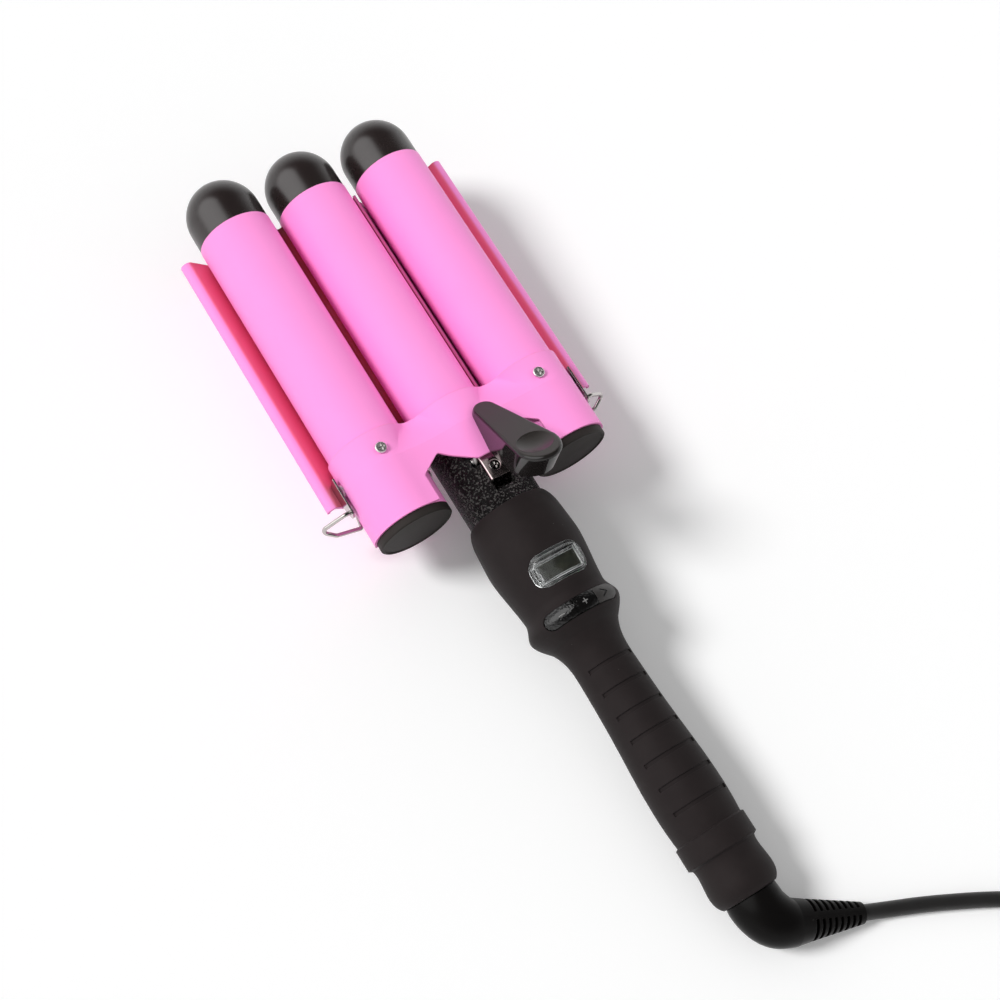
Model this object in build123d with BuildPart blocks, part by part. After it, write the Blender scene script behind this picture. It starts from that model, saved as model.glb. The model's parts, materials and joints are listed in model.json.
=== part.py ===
"""Three-barrel hair waver with a hinged upper jaw, a wire stand and a mains lead.

The tool is modelled along its own axes: Y runs from the handle to the barrel tips, Z points up
through the thumb lever, and y = 0 is the rear face of the outer barrels' plugs. The finished
pieces are then tilted into the stance in which the tool rests on its wire stand and the collar of
its handle, and written in a frame whose origin lies on the table below the middle of the tool.
"""

import os
from math import acos, asin, atan2, cos, degrees, hypot, pi, radians, sin, sqrt, tan

from build123d import *

os.makedirs("parts", exist_ok=True)

# ---------------------------------------------------------------- driving dimensions (mm)
barrel_radius = 16.0
barrel_pitch = 36.65
barrel_wall = 1.2
barrel_front = 149.5
cap_step = 0.2
cap_straight = 9.9
axis_drop = 1.4  # the centre barrel and the handle lie this far below the outer barrels

sheet = 1.0
skirt_angle = -21.0
saddle_rear = 3.5
saddle_blend = 27.0
saddle_front = 40.5
saddle_rise = 3.7  # the rear of the saddle stands this far off the neck
tongue_rear = 10.6

wing_gap = 1.2
wing_sheet = 1.2
wing_rear = 24.5
wing_front = 148.2
wing_flank = 12.8
lip_bend = 2.7
lip_drop = 0.6
bridge_rear = 26.0
bridge_front = 50.0

hinge_y = 12.0
hinge_z = 12.0
pin_radius = 1.2
leaf_clear = 1.15  # the bracket's top stays this far below the underside of the hinge leaf

neck_radius = 16.3
neck_front = 25.7
neck_bore = 8.0
spigot_radius = 14.8
head_front = -9.5
handle_end = -181.7
collar_front = -154.0
collar_rear = -163.2
collar_radius = 14.9

stand_y = 19.2
stand_z = 0.4
wire_radius = 0.9
foot_y = 52.0
foot_z = -31.6

cord_radius = 3.1
boot_turn = 68.0
boot_roll = 10.0
boot_bend = 14.0
boot_length = 30.0

fit = 0.1  # clearance of a piece that is pushed into another
pivot_fit = 0.06  # clearance of a pin in its hole
run = 0.3  # clearance between pieces that move past each other

# ---------------------------------------------------------------- values that follow from them
centre_z = -axis_drop
barrel_bore = barrel_radius - barrel_wall
saddle_radius = barrel_radius + fit / 2 + sheet
gutter_radius = barrel_radius + wing_gap
gutter_outer = gutter_radius + wing_sheet
handle_axis = Axis((0, 0, centre_z), (0, 1, 0))
sides = (("left", -1), ("right", 1))
pieces = []


def keep(block, label):
    """Label a finished sub-part and put it on the list that is written at the end."""
    block.part.label = label
    pieces.append(block.part)


def across(y):
    """Plane square to the barrels at station y, with X to the right and Z up."""
    return Plane(origin=(0, y, 0), x_dir=(1, 0, 0), z_dir=(0, -1, 0))


def across_below(y):
    """The same plane seen upside down, for a sheet that wraps the barrels from below."""
    return Plane(origin=(0, y, 0), x_dir=(1, 0, 0), z_dir=(0, 1, 0))


def on_circle(centre, radius, angle):
    """Point on a circle at an angle in degrees."""
    return (centre[0] + radius * cos(radians(angle)), centre[1] + radius * sin(radians(angle)))


def arc_on(centre, radius, start, end):
    """Arc of a circle from one angle to another, for use inside BuildLine."""
    ThreePointArc(
        on_circle(centre, radius, start),
        on_circle(centre, radius, (start + end) / 2),
        on_circle(centre, radius, end),
    )


def drape(plane, level, outer_radius, centre_radius, valley_radius, start, depth, base=-8.0):
    """Section of a sheet draped over the three barrels, or of all that is under it.

    The outside follows the outer barrel from the start angle, a concave valley and the centre
    barrel, whose axis is at the given level. depth is the thickness of the sheet; with a depth
    of 0 the section is filled down to the base level.
    """
    outer = (barrel_pitch, 0)
    centre = (0, level)
    reach_outer = outer_radius + valley_radius
    reach_centre = centre_radius + valley_radius
    span = hypot(outer[0], outer[1] - level)
    lean = degrees(atan2(outer[1] - level, outer[0]))
    rise = degrees(acos((reach_centre**2 + span**2 - reach_outer**2) / (2 * reach_centre * span)))
    valley = on_circle(centre, reach_centre, lean + rise)
    outer_end = degrees(atan2(valley[1] - outer[1], valley[0] - outer[0]))
    centre_end = degrees(atan2(valley[1] - centre[1], valley[0] - centre[0]))
    with BuildSketch(plane) as area:
        with BuildLine():
            arc_on(outer, outer_radius, start, outer_end)
            arc_on(valley, valley_radius, outer_end - 180, centre_end - 180)
            arc_on(centre, centre_radius, centre_end, 90)
            if depth > 0:
                Line((0, level + centre_radius), (0, level + centre_radius - depth))
                arc_on(centre, centre_radius - depth, 90, centre_end)
                arc_on(valley, valley_radius + depth, centre_end - 180, outer_end - 180)
                arc_on(outer, outer_radius - depth, outer_end, start)
                Line(
                    on_circle(outer, outer_radius - depth, start),
                    on_circle(outer, outer_radius, start),
                )
            else:
                skirt = on_circle(outer, outer_radius, start)
                Polyline((0, level + centre_radius), (0, base), (skirt[0], base), skirt)
        make_face()
        mirror(about=Plane.YZ)
    return area.sketch


def saddle_form(depth):
    """Solid of the upper saddle before its openings are cut; filled where depth is 0."""
    rear_radius = neck_radius + saddle_rise
    front_radius = barrel_radius + 2 * run + sheet
    rear = (centre_z, saddle_radius, rear_radius, 40.0, skirt_angle, depth)
    front = (centre_z, saddle_radius, front_radius, 6.0, skirt_angle, depth)
    with BuildPart() as form:
        with BuildSketch(across(saddle_rear)):
            add(drape(Plane.XY, *rear))
        extrude(amount=-(saddle_blend - saddle_rear))
        add(
            loft(
                [drape(across(saddle_blend), *rear), drape(across(saddle_front), *front)],
                ruled=True,
                mode=Mode.PRIVATE,
            )
        )
    return form.part


head_line = [(17.3, head_front), (18.8, -13), (19.8, -21), (20.3, -29), (19.3, -40), (17.9, -51.5)]
ridge_line = [(17.9, -51.5), (18.5, -54.8), (20.1, -59.3), (18.2, -63.6), (15.0, -67.5)]
waist_line = [(15.0, -67.5), (12.7, -73.5), (12.1, -84), (12.9, -107), (13.9, collar_front)]
end_line = [(13.5, collar_rear - 0.8), (13.8, -174), (13.0, -179.6), (11.4, handle_end)]


def grip_form(extra):
    """Solid of revolution of the whole handle, grown by extra."""
    with BuildPart() as form:
        with BuildSketch(Plane.XY.offset(centre_z)):
            with BuildLine():
                for points in (head_line, ridge_line, waist_line, end_line):
                    Spline(*[(radius + extra, y) for radius, y in points])
                Polyline(
                    (waist_line[-1][0] + extra, collar_front),
                    (collar_radius + extra, collar_front - 0.6),
                    (collar_radius + extra, collar_rear),
                    (end_line[0][0] + extra, end_line[0][1]),
                )
                Polyline(
                    (end_line[-1][0] + extra, handle_end),
                    (0, handle_end),
                    (0, head_front),
                    (head_line[0][0] + extra, head_front),
                )
            make_face()
        revolve(axis=handle_axis)
    return form.part


def rod(radius, start, end, x=0.0, z=centre_z, mode=Mode.ADD):
    """Cylinder parallel to the barrels, from station start to station end."""
    with Locations((x, (start + end) / 2, z)):
        Cylinder(radius, abs(end - start), rotation=(90, 0, 0), mode=mode)


def post(radius, low, high, x, y, mode=Mode.ADD):
    """Upright cylinder from height low to height high."""
    with Locations((x, y, (low + high) / 2)):
        Cylinder(radius, high - low, mode=mode)


def bar_x(radius, start, end, y, z, mode=Mode.ADD):
    """Cylinder across the tool, from x = start to x = end."""
    with Locations(((start + end) / 2, y, z)):
        Cylinder(radius, abs(end - start), rotation=(0, 90, 0), mode=mode)


def cross_recess(place, size, depth):
    """Cut the cross of a screw head into the face that the plane lies on."""
    with BuildSketch(place) as cross:
        Rectangle(size, size / 4)
        Rectangle(size / 4, size)
    extrude(cross.sketch, amount=-depth, mode=Mode.SUBTRACT)


# ---------------------------------------------------------------- screw sizes and places
shank_radius = 1.25
head_radius = 2.4
head_thick = 0.9
top_screw_y = 32.0
side_screw_y = 29.0
rivet_y = 38.0
plug_ring = 18.5
plug_rim = 1.3
plug_screw_y = 19.4
plug_shank = 0.95
plug_head = 1.45
plug_head_thick = 1.2

# ---------------------------------------------------------------- barrels, tips and heaters
barrel_rows = (
    ("left", -barrel_pitch, 0.0, saddle_rear),
    ("center", 0.0, centre_z, neck_front),
    ("right", barrel_pitch, 0.0, saddle_rear),
)
heater_rear = 48.0
heater_front = 132.0
heater_width = 19.0
cap_radius = barrel_radius - cap_step
dome_y = barrel_front + cap_straight

for name, x, z, rear in barrel_rows:
    with BuildPart() as barrel:
        rod(barrel_radius, rear, barrel_front, x, z)
        rod(barrel_bore, rear, barrel_front, x, z, Mode.SUBTRACT)
        if name == "center":
            post(shank_radius, z - barrel_radius - 5, z, x, rivet_y, Mode.SUBTRACT)
        else:
            outward = 1 if x > 0 else -1
            post(shank_radius, z, z + barrel_radius + 5, x, top_screw_y, Mode.SUBTRACT)
            bar_x(shank_radius, x, x + outward * (barrel_radius + 5), side_screw_y, z, Mode.SUBTRACT)
            bar_x(plug_shank + fit / 2, x - outward * (barrel_radius + 5), x, plug_screw_y, z, Mode.SUBTRACT)
    keep(barrel, f"{name}_barrel")

    with BuildPart() as tip:
        with BuildSketch(Plane.XY.offset(z)):
            with BuildLine():
                arc_on((x, dome_y), cap_radius, 90, 0)
                Polyline(
                    (x + cap_radius, dome_y),
                    (x + cap_radius, barrel_front),
                    (x + barrel_bore - fit, barrel_front),
                    (x + barrel_bore - fit, barrel_front - 9),
                    (x + barrel_bore - fit - 2, barrel_front - 9),
                    (x + barrel_bore - fit - 2, dome_y),
                    (x, dome_y + cap_radius - 3),
                    (x, dome_y + cap_radius),
                )
            make_face()
        revolve(axis=Axis((x, 0, z), (0, 1, 0)))
    keep(tip, f"{name}_tip")

    with BuildPart() as heater:
        with BuildSketch(across(heater_rear)):
            with Locations((x, z)):
                Circle(barrel_bore - fit)
                Rectangle(heater_width, 2 * barrel_radius, mode=Mode.INTERSECT)
                Rectangle(heater_width - 6, 3.0, mode=Mode.SUBTRACT)
        extrude(amount=-(heater_front - heater_rear))
    keep(heater, f"{name}_heater")

for name, sign in sides:
    with BuildPart() as plug:
        x = sign * barrel_pitch
        rod(barrel_radius, 0, saddle_rear, x, 0)
        chamfer(plug.edges().group_by(Axis.Y)[0], 0.5)
        rod(barrel_bore - fit, saddle_rear, saddle_rear + plug_ring, x, 0)
        rod(barrel_bore - 2.5, saddle_rear, saddle_rear + plug_ring + 1, x, 0, Mode.SUBTRACT)
        rod(barrel_radius - plug_rim, -0.2, 0.3, x, 0, Mode.SUBTRACT)
        bar_x(plug_shank + fit / 2, x - sign * (barrel_radius + 5), x, plug_screw_y, 0, Mode.SUBTRACT)
    keep(plug, f"{name}_plug")

with BuildPart() as plug_screws:
    for name, sign in sides:
        x = sign * barrel_pitch
        seat = x - sign * barrel_radius
        bar_x(plug_shank, x - sign * (barrel_bore - 3.5), seat - sign * 0.1, plug_screw_y, 0)
        bar_x(plug_head, seat, seat - sign * plug_head_thick, plug_screw_y, 0)
        head_face = (seat - sign * plug_head_thick, plug_screw_y, 0)
        cross_recess(Plane(head_face, z_dir=(-sign, 0, 0)), 1.9, 0.5)
keep(plug_screws, "plug_screws")

# ---------------------------------------------------------------- upper saddle
lever_screw_x = 9.0
lever_screw_rows = (16.5, 23.5)
lever_screw_head = 2.1
lever_screw_seat = centre_z + sqrt((neck_radius + saddle_rise - sheet) ** 2 - lever_screw_x**2) - 0.33

with BuildPart() as jaw_saddle:
    add(saddle_form(sheet))
    for name, sign in sides:
        rod(barrel_radius, 0, saddle_front + 1, sign * barrel_pitch, 0, Mode.SUBTRACT)
    with BuildSketch(Plane.XY) as notch:
        with BuildLine():
            Polyline(
                (0, saddle_rear - 5),
                (26.6, saddle_rear - 5),
                (26.6, 14.9),
                (17.4, 20.9),
                (13.9, 17.6),
                (5.0, tongue_rear),
                (0, tongue_rear),
                close=True,
            )
        make_face()
        mirror(about=Plane.YZ)
        fillet([v for v in notch.vertices() if v.Y > tongue_rear - 1 and abs(v.X) > 1], 1.3)
    extrude(amount=30, mode=Mode.SUBTRACT)
    for name, sign in sides:
        x = sign * barrel_pitch
        post(shank_radius, 0, 30, x, top_screw_y, Mode.SUBTRACT)
        bar_x(shank_radius, x, x + sign * 25, side_screw_y, 0, Mode.SUBTRACT)
    for y in lever_screw_rows:
        post(shank_radius, 0, 40, lever_screw_x, y, Mode.SUBTRACT)
        post(lever_screw_head + fit, 0, lever_screw_seat + 0.02, lever_screw_x, y, Mode.SUBTRACT)
keep(jaw_saddle, "jaw_saddle")

with BuildPart() as saddle_screws:
    for name, sign in sides:
        x = sign * barrel_pitch
        post(shank_radius - fit / 2, barrel_bore - 1.5, saddle_radius + 0.2, x, top_screw_y)
        post(head_radius, saddle_radius, saddle_radius + head_thick, x, top_screw_y)
        inner = x + sign * (barrel_bore - 1.5)
        seat = x + sign * saddle_radius
        bar_x(shank_radius - fit / 2, inner, seat + sign * 0.2, side_screw_y, 0)
        bar_x(head_radius, seat, seat + sign * head_thick, side_screw_y, 0)
    heads = saddle_screws.faces().filter_by(Axis.Z).sort_by(Axis.Z)[-2:]
    chamfer(heads.edges(), 0.35)
    for name, sign in sides:
        x = sign * barrel_pitch
        cross_recess(Plane((x, top_screw_y, saddle_radius + head_thick)), 2.8, 0.6)
        outer_face = (x + sign * (saddle_radius + head_thick), side_screw_y, 0)
        cross_recess(Plane(outer_face, z_dir=(sign, 0, 0)), 2.8, 0.6)
keep(saddle_screws, "saddle_screws")

# ---------------------------------------------------------------- hinge
slot_floor = 8.9
slot_rear = -3.5
slot_front = 24.0
slot_step = 9.0
bracket_half = 4.4
bracket_rear = 1.0
bracket_front = 13.4
bracket_screw_y = 6.0
leaf_rear = hinge_y + 1.2
leaf_length = 11.0
leaf_half = 6.2
leaf_radius = neck_radius + saddle_rise - sheet - fit / 2
leaf_edge = centre_z + sqrt(leaf_radius**2 - leaf_half**2)
bracket_top = centre_z + leaf_radius - sheet - leaf_clear

with BuildPart() as hinge_bracket:
    with BuildSketch(across(bracket_rear)):
        with Locations((0, (slot_floor + bracket_top) / 2)):
            Rectangle(2 * bracket_half, bracket_top - slot_floor)
        with Locations((0, (slot_floor + bracket_top) / 2 - sheet)):
            Rectangle(2 * (bracket_half - sheet), bracket_top - slot_floor, mode=Mode.SUBTRACT)
    extrude(amount=-(bracket_front - bracket_rear))
    top = hinge_bracket.faces().sort_by(Axis.Z)[-1]
    fillet(top.edges().filter_by(Axis.Y), 0.7)
    bar_x(pin_radius + pivot_fit, -10, 10, hinge_y, hinge_z, Mode.SUBTRACT)
    with Locations((0, bracket_screw_y, bracket_top)):
        CounterSinkHole(radius=1.35, counter_sink_radius=2.4, depth=3)
keep(hinge_bracket, "hinge_bracket")

with BuildPart() as bracket_screw:
    with BuildSketch(Plane((0, bracket_screw_y, 0), x_dir=(1, 0, 0), z_dir=(0, -1, 0))):
        with BuildLine():
            Polyline(
                (0, bracket_top - 0.15),
                (2.15, bracket_top - 0.15),
                (1.2, bracket_top - 1.1),
                (1.2, bracket_top - 5),
                (0, bracket_top - 5),
                close=True,
            )
        make_face()
    revolve(axis=Axis((0, bracket_screw_y, 0), (0, 0, 1)))
    cross_recess(Plane((0, bracket_screw_y, bracket_top - 0.15)), 2.6, 0.6)
keep(bracket_screw, "bracket_screw")

with BuildPart() as hinge_leaf:
    with BuildSketch(across(leaf_rear)):
        with Locations((0, centre_z)):
            Circle(leaf_radius)
            Circle(leaf_radius - sheet, mode=Mode.SUBTRACT)
            with Locations((0, leaf_radius)):
                Rectangle(2 * leaf_half, 16.0, mode=Mode.INTERSECT)
    extrude(amount=-leaf_length)
    for ear_x in (-leaf_half, leaf_half - sheet):
        with BuildSketch(Plane.YZ.offset(ear_x)):
            with Locations((hinge_y, hinge_z)):
                Circle(2.3)
            with Locations((leaf_rear + 1.6, (hinge_z + leaf_edge - 0.3) / 2)):
                Rectangle(3.2, leaf_edge - 0.3 - hinge_z)
            make_hull()
        extrude(amount=sheet)
    bar_x(pin_radius + pivot_fit, -10, 10, hinge_y, hinge_z, Mode.SUBTRACT)
keep(hinge_leaf, "hinge_leaf")

with BuildPart() as hinge_pin:
    bar_x(pin_radius, -6.9, 6.9, hinge_y, hinge_z)
    chamfer(hinge_pin.edges().filter_by(GeomType.CIRCLE), 0.3)
keep(hinge_pin, "hinge_pin")

spring_wire = 0.45
spring_radius = pin_radius + spring_wire + fit
spring_pitch = 1.05
spring_turns = 5

with BuildPart() as hinge_spring:
    spring_start = (-spring_pitch * spring_turns / 2, hinge_y, hinge_z)
    with BuildLine():
        helix = Helix(
            spring_pitch,
            spring_pitch * spring_turns,
            spring_radius,
            center=spring_start,
            direction=(1, 0, 0),
        )
    with BuildSketch(Plane(helix @ 0, z_dir=helix % 0)):
        Circle(spring_wire)
    sweep(path=helix)
keep(hinge_spring, "hinge_spring")

# ---------------------------------------------------------------- neck
with BuildPart() as neck:
    rod(neck_radius, head_front + fit, neck_front - fit)
    chamfer(neck.edges().group_by(Axis.Y)[-1], 0.6)
    rod(spigot_radius, head_front - 12, head_front + fit)
    rod(barrel_bore - fit, neck_front - fit, neck_front + 13)
    rod(neck_bore, head_front - 20, neck_front + 20, mode=Mode.SUBTRACT)
    for half, front in ((bracket_half + fit, slot_step), (7.4, slot_front)):
        rear = slot_rear if front == slot_step else slot_step
        with Locations((0, (rear + front) / 2, (slot_floor + 20) / 2)):
            Box(2 * half, front - rear, 20 - slot_floor, mode=Mode.SUBTRACT)
    post(2.7, slot_floor - 0.5, bracket_top - sheet, 0, bracket_screw_y)
    post(1.25, bracket_top - 6, bracket_top, 0, bracket_screw_y, Mode.SUBTRACT)
keep(neck, "neck")

# ---------------------------------------------------------------- thumb lever
lever_x = 7.4
lever_tip = 30.4
lever_slope = 0.75
lever_tip_z = centre_z + neck_radius + saddle_rise + 1.3
lever_back = -12.5
lever_round = 9.0
lever_nose = 4.9
lever_drop = 16.0
lever_wall = 2.0
lever_base = tongue_rear - 0.4


def lever_top(y):
    """Height of the lever's top face at station y."""
    return lever_tip_z + lever_slope * (lever_tip - y)


def lever_wedge(inset, top_drop, base, top_end):
    """Teardrop plan of the lever raised between its sloping top and its stepped underside."""
    with BuildPart() as wedge:
        with BuildSketch(Plane.XY):
            with Locations((lever_x, lever_back + lever_round)):
                Circle(lever_round - inset)
            with Locations((lever_x - 0.9, lever_tip - lever_nose)):
                Circle(lever_nose - inset)
            make_hull()
        extrude(amount=80)
        with BuildSketch(Plane.YZ):
            with BuildLine():
                Polyline(
                    (top_end, 0),
                    (top_end, lever_top(top_end) - top_drop),
                    (lever_back - 1, lever_top(lever_back - 1) - top_drop),
                    (lever_back - 1, lever_top(lever_back - 1) - lever_drop - inset),
                    (base, lever_top(base) - lever_drop - inset),
                    (base, 0),
                    close=True,
                )
            make_face()
        extrude(amount=40, both=True, mode=Mode.INTERSECT)
    return wedge.part


with BuildPart() as thumb_lever:
    add(lever_wedge(0, 0, lever_base, lever_tip + 1))
    uphill = Vector(0, lever_slope, 1).normalized()
    top = thumb_lever.faces().sort_by(lambda f: f.center().dot(uphill))[-1]
    fillet(top.edges(), 1.3)
    add(saddle_form(0), mode=Mode.SUBTRACT)
    dish_y = lever_back + lever_round + 1.6
    dish = Vector(lever_x, dish_y, lever_top(dish_y)) + uphill * (19.0 - 1.4)
    with Locations(dish):
        Sphere(19.0, mode=Mode.SUBTRACT)
    add(lever_wedge(lever_wall, 4.6, lever_base - 3, lever_base - 2.6), mode=Mode.SUBTRACT)
    for y in lever_screw_rows:
        post(shank_radius, 10, lever_screw_seat + 7.5, lever_screw_x, y, Mode.SUBTRACT)
keep(thumb_lever, "thumb_lever")

with BuildPart() as lever_screws:
    for y in lever_screw_rows:
        post(shank_radius - fit / 2, lever_screw_seat - 0.5, lever_screw_seat + 7.3, lever_screw_x, y)
        post(lever_screw_head, lever_screw_seat - 1, lever_screw_seat, lever_screw_x, y)
keep(lever_screws, "lever_screws")

# ---------------------------------------------------------------- lower jaw
flank_foot = on_circle((barrel_pitch, 0), gutter_radius, -45)
flank_under = on_circle((barrel_pitch, 0), gutter_outer, -45)
along = cos(radians(45))
crest = (flank_foot[0] + wing_flank * along, flank_foot[1] + wing_flank * along)
lip = (crest[0] + lip_bend * along, crest[1] - lip_bend * along)
lip_inner = lip_bend - wing_sheet

for name, sign in sides:
    with BuildPart() as wing:
        with BuildSketch(across(wing_rear)):
            with BuildLine():
                arc_on((barrel_pitch, 0), gutter_radius, -170, -45)
                Line(flank_foot, crest)
                arc_on(lip, lip_bend, 135, 0)
                Polyline(
                    (lip[0] + lip_bend, lip[1]),
                    (lip[0] + lip_bend, lip[1] - lip_drop),
                    (lip[0] + lip_inner, lip[1] - lip_drop),
                    (lip[0] + lip_inner, lip[1]),
                )
                arc_on(lip, lip_inner, 0, 135)
                Line(on_circle(lip, lip_inner, 135), flank_under)
                arc_on((barrel_pitch, 0), gutter_outer, -45, -170)
                Line(
                    on_circle((barrel_pitch, 0), gutter_outer, -170),
                    on_circle((barrel_pitch, 0), gutter_radius, -170),
                )
            make_face()
            if sign < 0:
                mirror(about=Plane.YZ, mode=Mode.REPLACE)
        extrude(amount=-(wing_front - wing_rear))
        post(shank_radius, -30, -10, sign * barrel_pitch, rivet_y, Mode.SUBTRACT)
        rod(neck_radius + run, wing_rear - 1, neck_front + run, mode=Mode.SUBTRACT)
    keep(wing, f"{name}_wing")

bridge_radius = gutter_outer + fit / 2 + wing_sheet
bridge_middle = barrel_radius + fit / 2 + wing_sheet

with BuildPart() as lower_bridge:
    with BuildSketch(across_below(bridge_rear)):
        add(drape(Plane.XY, -centre_z, bridge_radius, bridge_middle, 9.0, 48.0, wing_sheet))
    extrude(amount=bridge_front - bridge_rear)
    for x in (-barrel_pitch, 0, barrel_pitch):
        post(shank_radius, -30, -10, x, rivet_y, Mode.SUBTRACT)
keep(lower_bridge, "lower_bridge")

with BuildPart() as bridge_rivets:
    for x, seat, inner in (
        (-barrel_pitch, bridge_radius, gutter_radius),
        (0, bridge_middle - centre_z, barrel_bore - centre_z),
        (barrel_pitch, bridge_radius, gutter_radius),
    ):
        post(shank_radius - fit / 2, -seat - 0.2, -inner, x, rivet_y)
        post(head_radius, -seat - head_thick, -seat, x, rivet_y)
    ends = bridge_rivets.faces().filter_by(lambda face: face.normal_at().Z < -0.9)
    fillet(ends.edges(), 0.6)
keep(bridge_rivets, "bridge_rivets")

# ---------------------------------------------------------------- wire stand
plate_inset = 2.68
plate_x = crest[0] - plate_inset
plate_thick = 0.8
flank_drop = crest[0] - crest[1]  # the flank's inner face is the line z = x - flank_drop
foot_x = 41.0

with BuildPart() as stand_brackets:
    for name, sign in sides:
        outer_x = plate_x + plate_thick
        low = outer_x - flank_drop
        inset = plate_thick / along
        with BuildSketch(across(wing_rear + 0.4)):
            with BuildLine():
                Polyline(
                    (outer_x, low),
                    (outer_x, low + 2),
                    (plate_x, low + 2),
                    (plate_x, plate_x - flank_drop + inset),
                    (plate_x - 3.2, plate_x - 3.2 - flank_drop + inset),
                    (plate_x - 3.2 + plate_thick * along, low - 3.2 - plate_thick * (1 - along)),
                    close=True,
                )
            make_face()
            if sign < 0:
                mirror(about=Plane.YZ, mode=Mode.REPLACE)
        extrude(amount=-9.0)
        with BuildSketch(Plane.YZ.offset(plate_x if sign > 0 else -plate_x)):
            with Locations((stand_y, stand_z)):
                Circle(2.6)
            with Locations((wing_rear + 4.9, (low + stand_z + 2.6) / 2)):
                Rectangle(9.0, stand_z + 2.6 - low)
            make_hull()
            with Locations((stand_y, stand_z)):
                Circle(wire_radius + pivot_fit, mode=Mode.SUBTRACT)
        extrude(amount=sign * plate_thick)
keep(stand_brackets, "stand_brackets")

with BuildPart() as wire_stand:
    right_run = [
        (plate_x - 0.7, stand_y, stand_z),
        (plate_x + 3.4, stand_y, stand_z),
        (68.0, 20.5, -9.0),
        (62.2, 16.9, -11.2),
        (50.0, 17.0, -17.5),
        (foot_x, foot_y, foot_z),
    ]
    left_run = [(-x, y, z) for x, y, z in reversed(right_run)]
    with BuildLine() as stand_line:
        FilletPolyline(*right_run, *left_run, radius=2.2)
    with BuildSketch(Plane(origin=right_run[0], z_dir=(1, 0, 0))):
        Circle(wire_radius)
    sweep(path=stand_line.wire())
keep(wire_stand, "wire_stand")

# ---------------------------------------------------------------- handle shells
lens_y = -41.0
lens_length = 23.4
lens_width = 12.8
lens_floor = 12.0
window_length = 18.0
window_width = 8.8
window_line = 0.55
window_pocket = 2.6
strip_x = -0.6
strip_y = -59.2
strip_length = 31.8
strip_width = 6.9
strip_floor = 8.2
button_gap = 0.2
button_travel = 0.7
groove_first = -82.2
groove_pitch = 10.2
groove_count = 7
groove_width = 1.7
groove_depth = 0.6
groove_half_angle = 54.0
cavity_radius = spigot_radius + fit
board_top = 5.6
board_thick = 1.6
post_x = 9.5
post_y = -51.5
grip_screw_rows = ((-26.0, 14.9, 12.5), (-78.5, 10.0, 6.5), (-128.0, 10.7, 7.0))

with BuildPart() as grip_blank:
    add(grip_form(0))
    with BuildSketch(Plane.XY.offset(centre_z)):
        with BuildLine():
            Polyline(
                (0, head_front + 1),
                (cavity_radius, head_front + 1),
                (cavity_radius, -64),
                (10.0, -74),
                (9.8, -100),
                (11.2, -148),
                (4.5, -152),
                (4.5, -166),
                (8.4, -166),
                (8.4, -170),
                (6.3, -170),
                (6.3, handle_end - 1),
                (0, handle_end - 1),
                close=True,
            )
        make_face()
    revolve(axis=handle_axis, mode=Mode.SUBTRACT)

with BuildPart() as groove_skin:
    with BuildSketch(Plane.XZ):
        with Locations((0, centre_z)):
            with BuildLine():
                Polyline(
                    (0, centre_z),
                    (40 * tan(radians(groove_half_angle)), centre_z + 40),
                    (-40 * tan(radians(groove_half_angle)), centre_z + 40),
                    close=True,
                )
        make_face()
    extrude(amount=-groove_width / 2, both=True)
    groove_disc = groove_skin.part

with BuildPart() as groove_cutter:
    with Locations([(0, groove_first - groove_pitch * i, 0) for i in range(groove_count)]):
        add(groove_disc)
    add(grip_form(-groove_depth), mode=Mode.SUBTRACT)

with BuildPart() as grip_upper:
    add(grip_blank.part)
    split(bisect_by=Plane.XY.offset(centre_z), keep=Keep.TOP)
    for y, cavity, seat_depth in grip_screw_rows:
        post(2.9, centre_z, centre_z + cavity + 0.6, 0, y)
        post(1.25, centre_z - 1, centre_z + 7, 0, y, Mode.SUBTRACT)
    for x in (-post_x, post_x):
        post(2.2, board_top, 12.0, x, post_y)
        post(1.05, board_top - 1, board_top + 4, x, post_y, Mode.SUBTRACT)
    with BuildSketch(Plane.XY.offset(lens_floor)):
        with Locations((0, lens_y)):
            RectangleRounded(lens_length + 2 * fit, lens_width + 2 * fit, 5.0)
    extrude(amount=20, mode=Mode.SUBTRACT)
    with BuildSketch(Plane.XY.offset(board_top)):
        with Locations((0, lens_y)):
            Rectangle(20.4, 10.4)
    extrude(amount=20, mode=Mode.SUBTRACT)
    with BuildSketch(Plane.XY.offset(strip_floor)):
        with Locations((strip_x, strip_y)):
            SlotOverall(strip_length, strip_width)
    extrude(amount=20, mode=Mode.SUBTRACT)
    add(groove_cutter.part, mode=Mode.SUBTRACT)
keep(grip_upper, "grip_upper")

with BuildPart() as grip_lower:
    add(grip_blank.part)
    split(bisect_by=Plane.XY.offset(centre_z), keep=Keep.BOTTOM)
    for y, cavity, seat_depth in grip_screw_rows:
        post(3.6, centre_z - cavity - 0.6, centre_z - fit / 2, 0, y)
        post(2.6, centre_z - 30, centre_z - seat_depth, 0, y, Mode.SUBTRACT)
        post(1.25, centre_z - 30, centre_z + 1, 0, y, Mode.SUBTRACT)
keep(grip_lower, "grip_lower")

with BuildPart() as grip_screws:
    for y, cavity, seat_depth in grip_screw_rows:
        seat = centre_z - seat_depth
        post(head_radius, seat - 1.6, seat, 0, y)
        post(shank_radius - fit / 2, seat - 0.1, centre_z + 6.5, 0, y)
        cross_recess(Plane((0, y, seat - 1.6), z_dir=(0, 0, -1)), 2.8, 0.9)
keep(grip_screws, "grip_screws")

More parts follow.
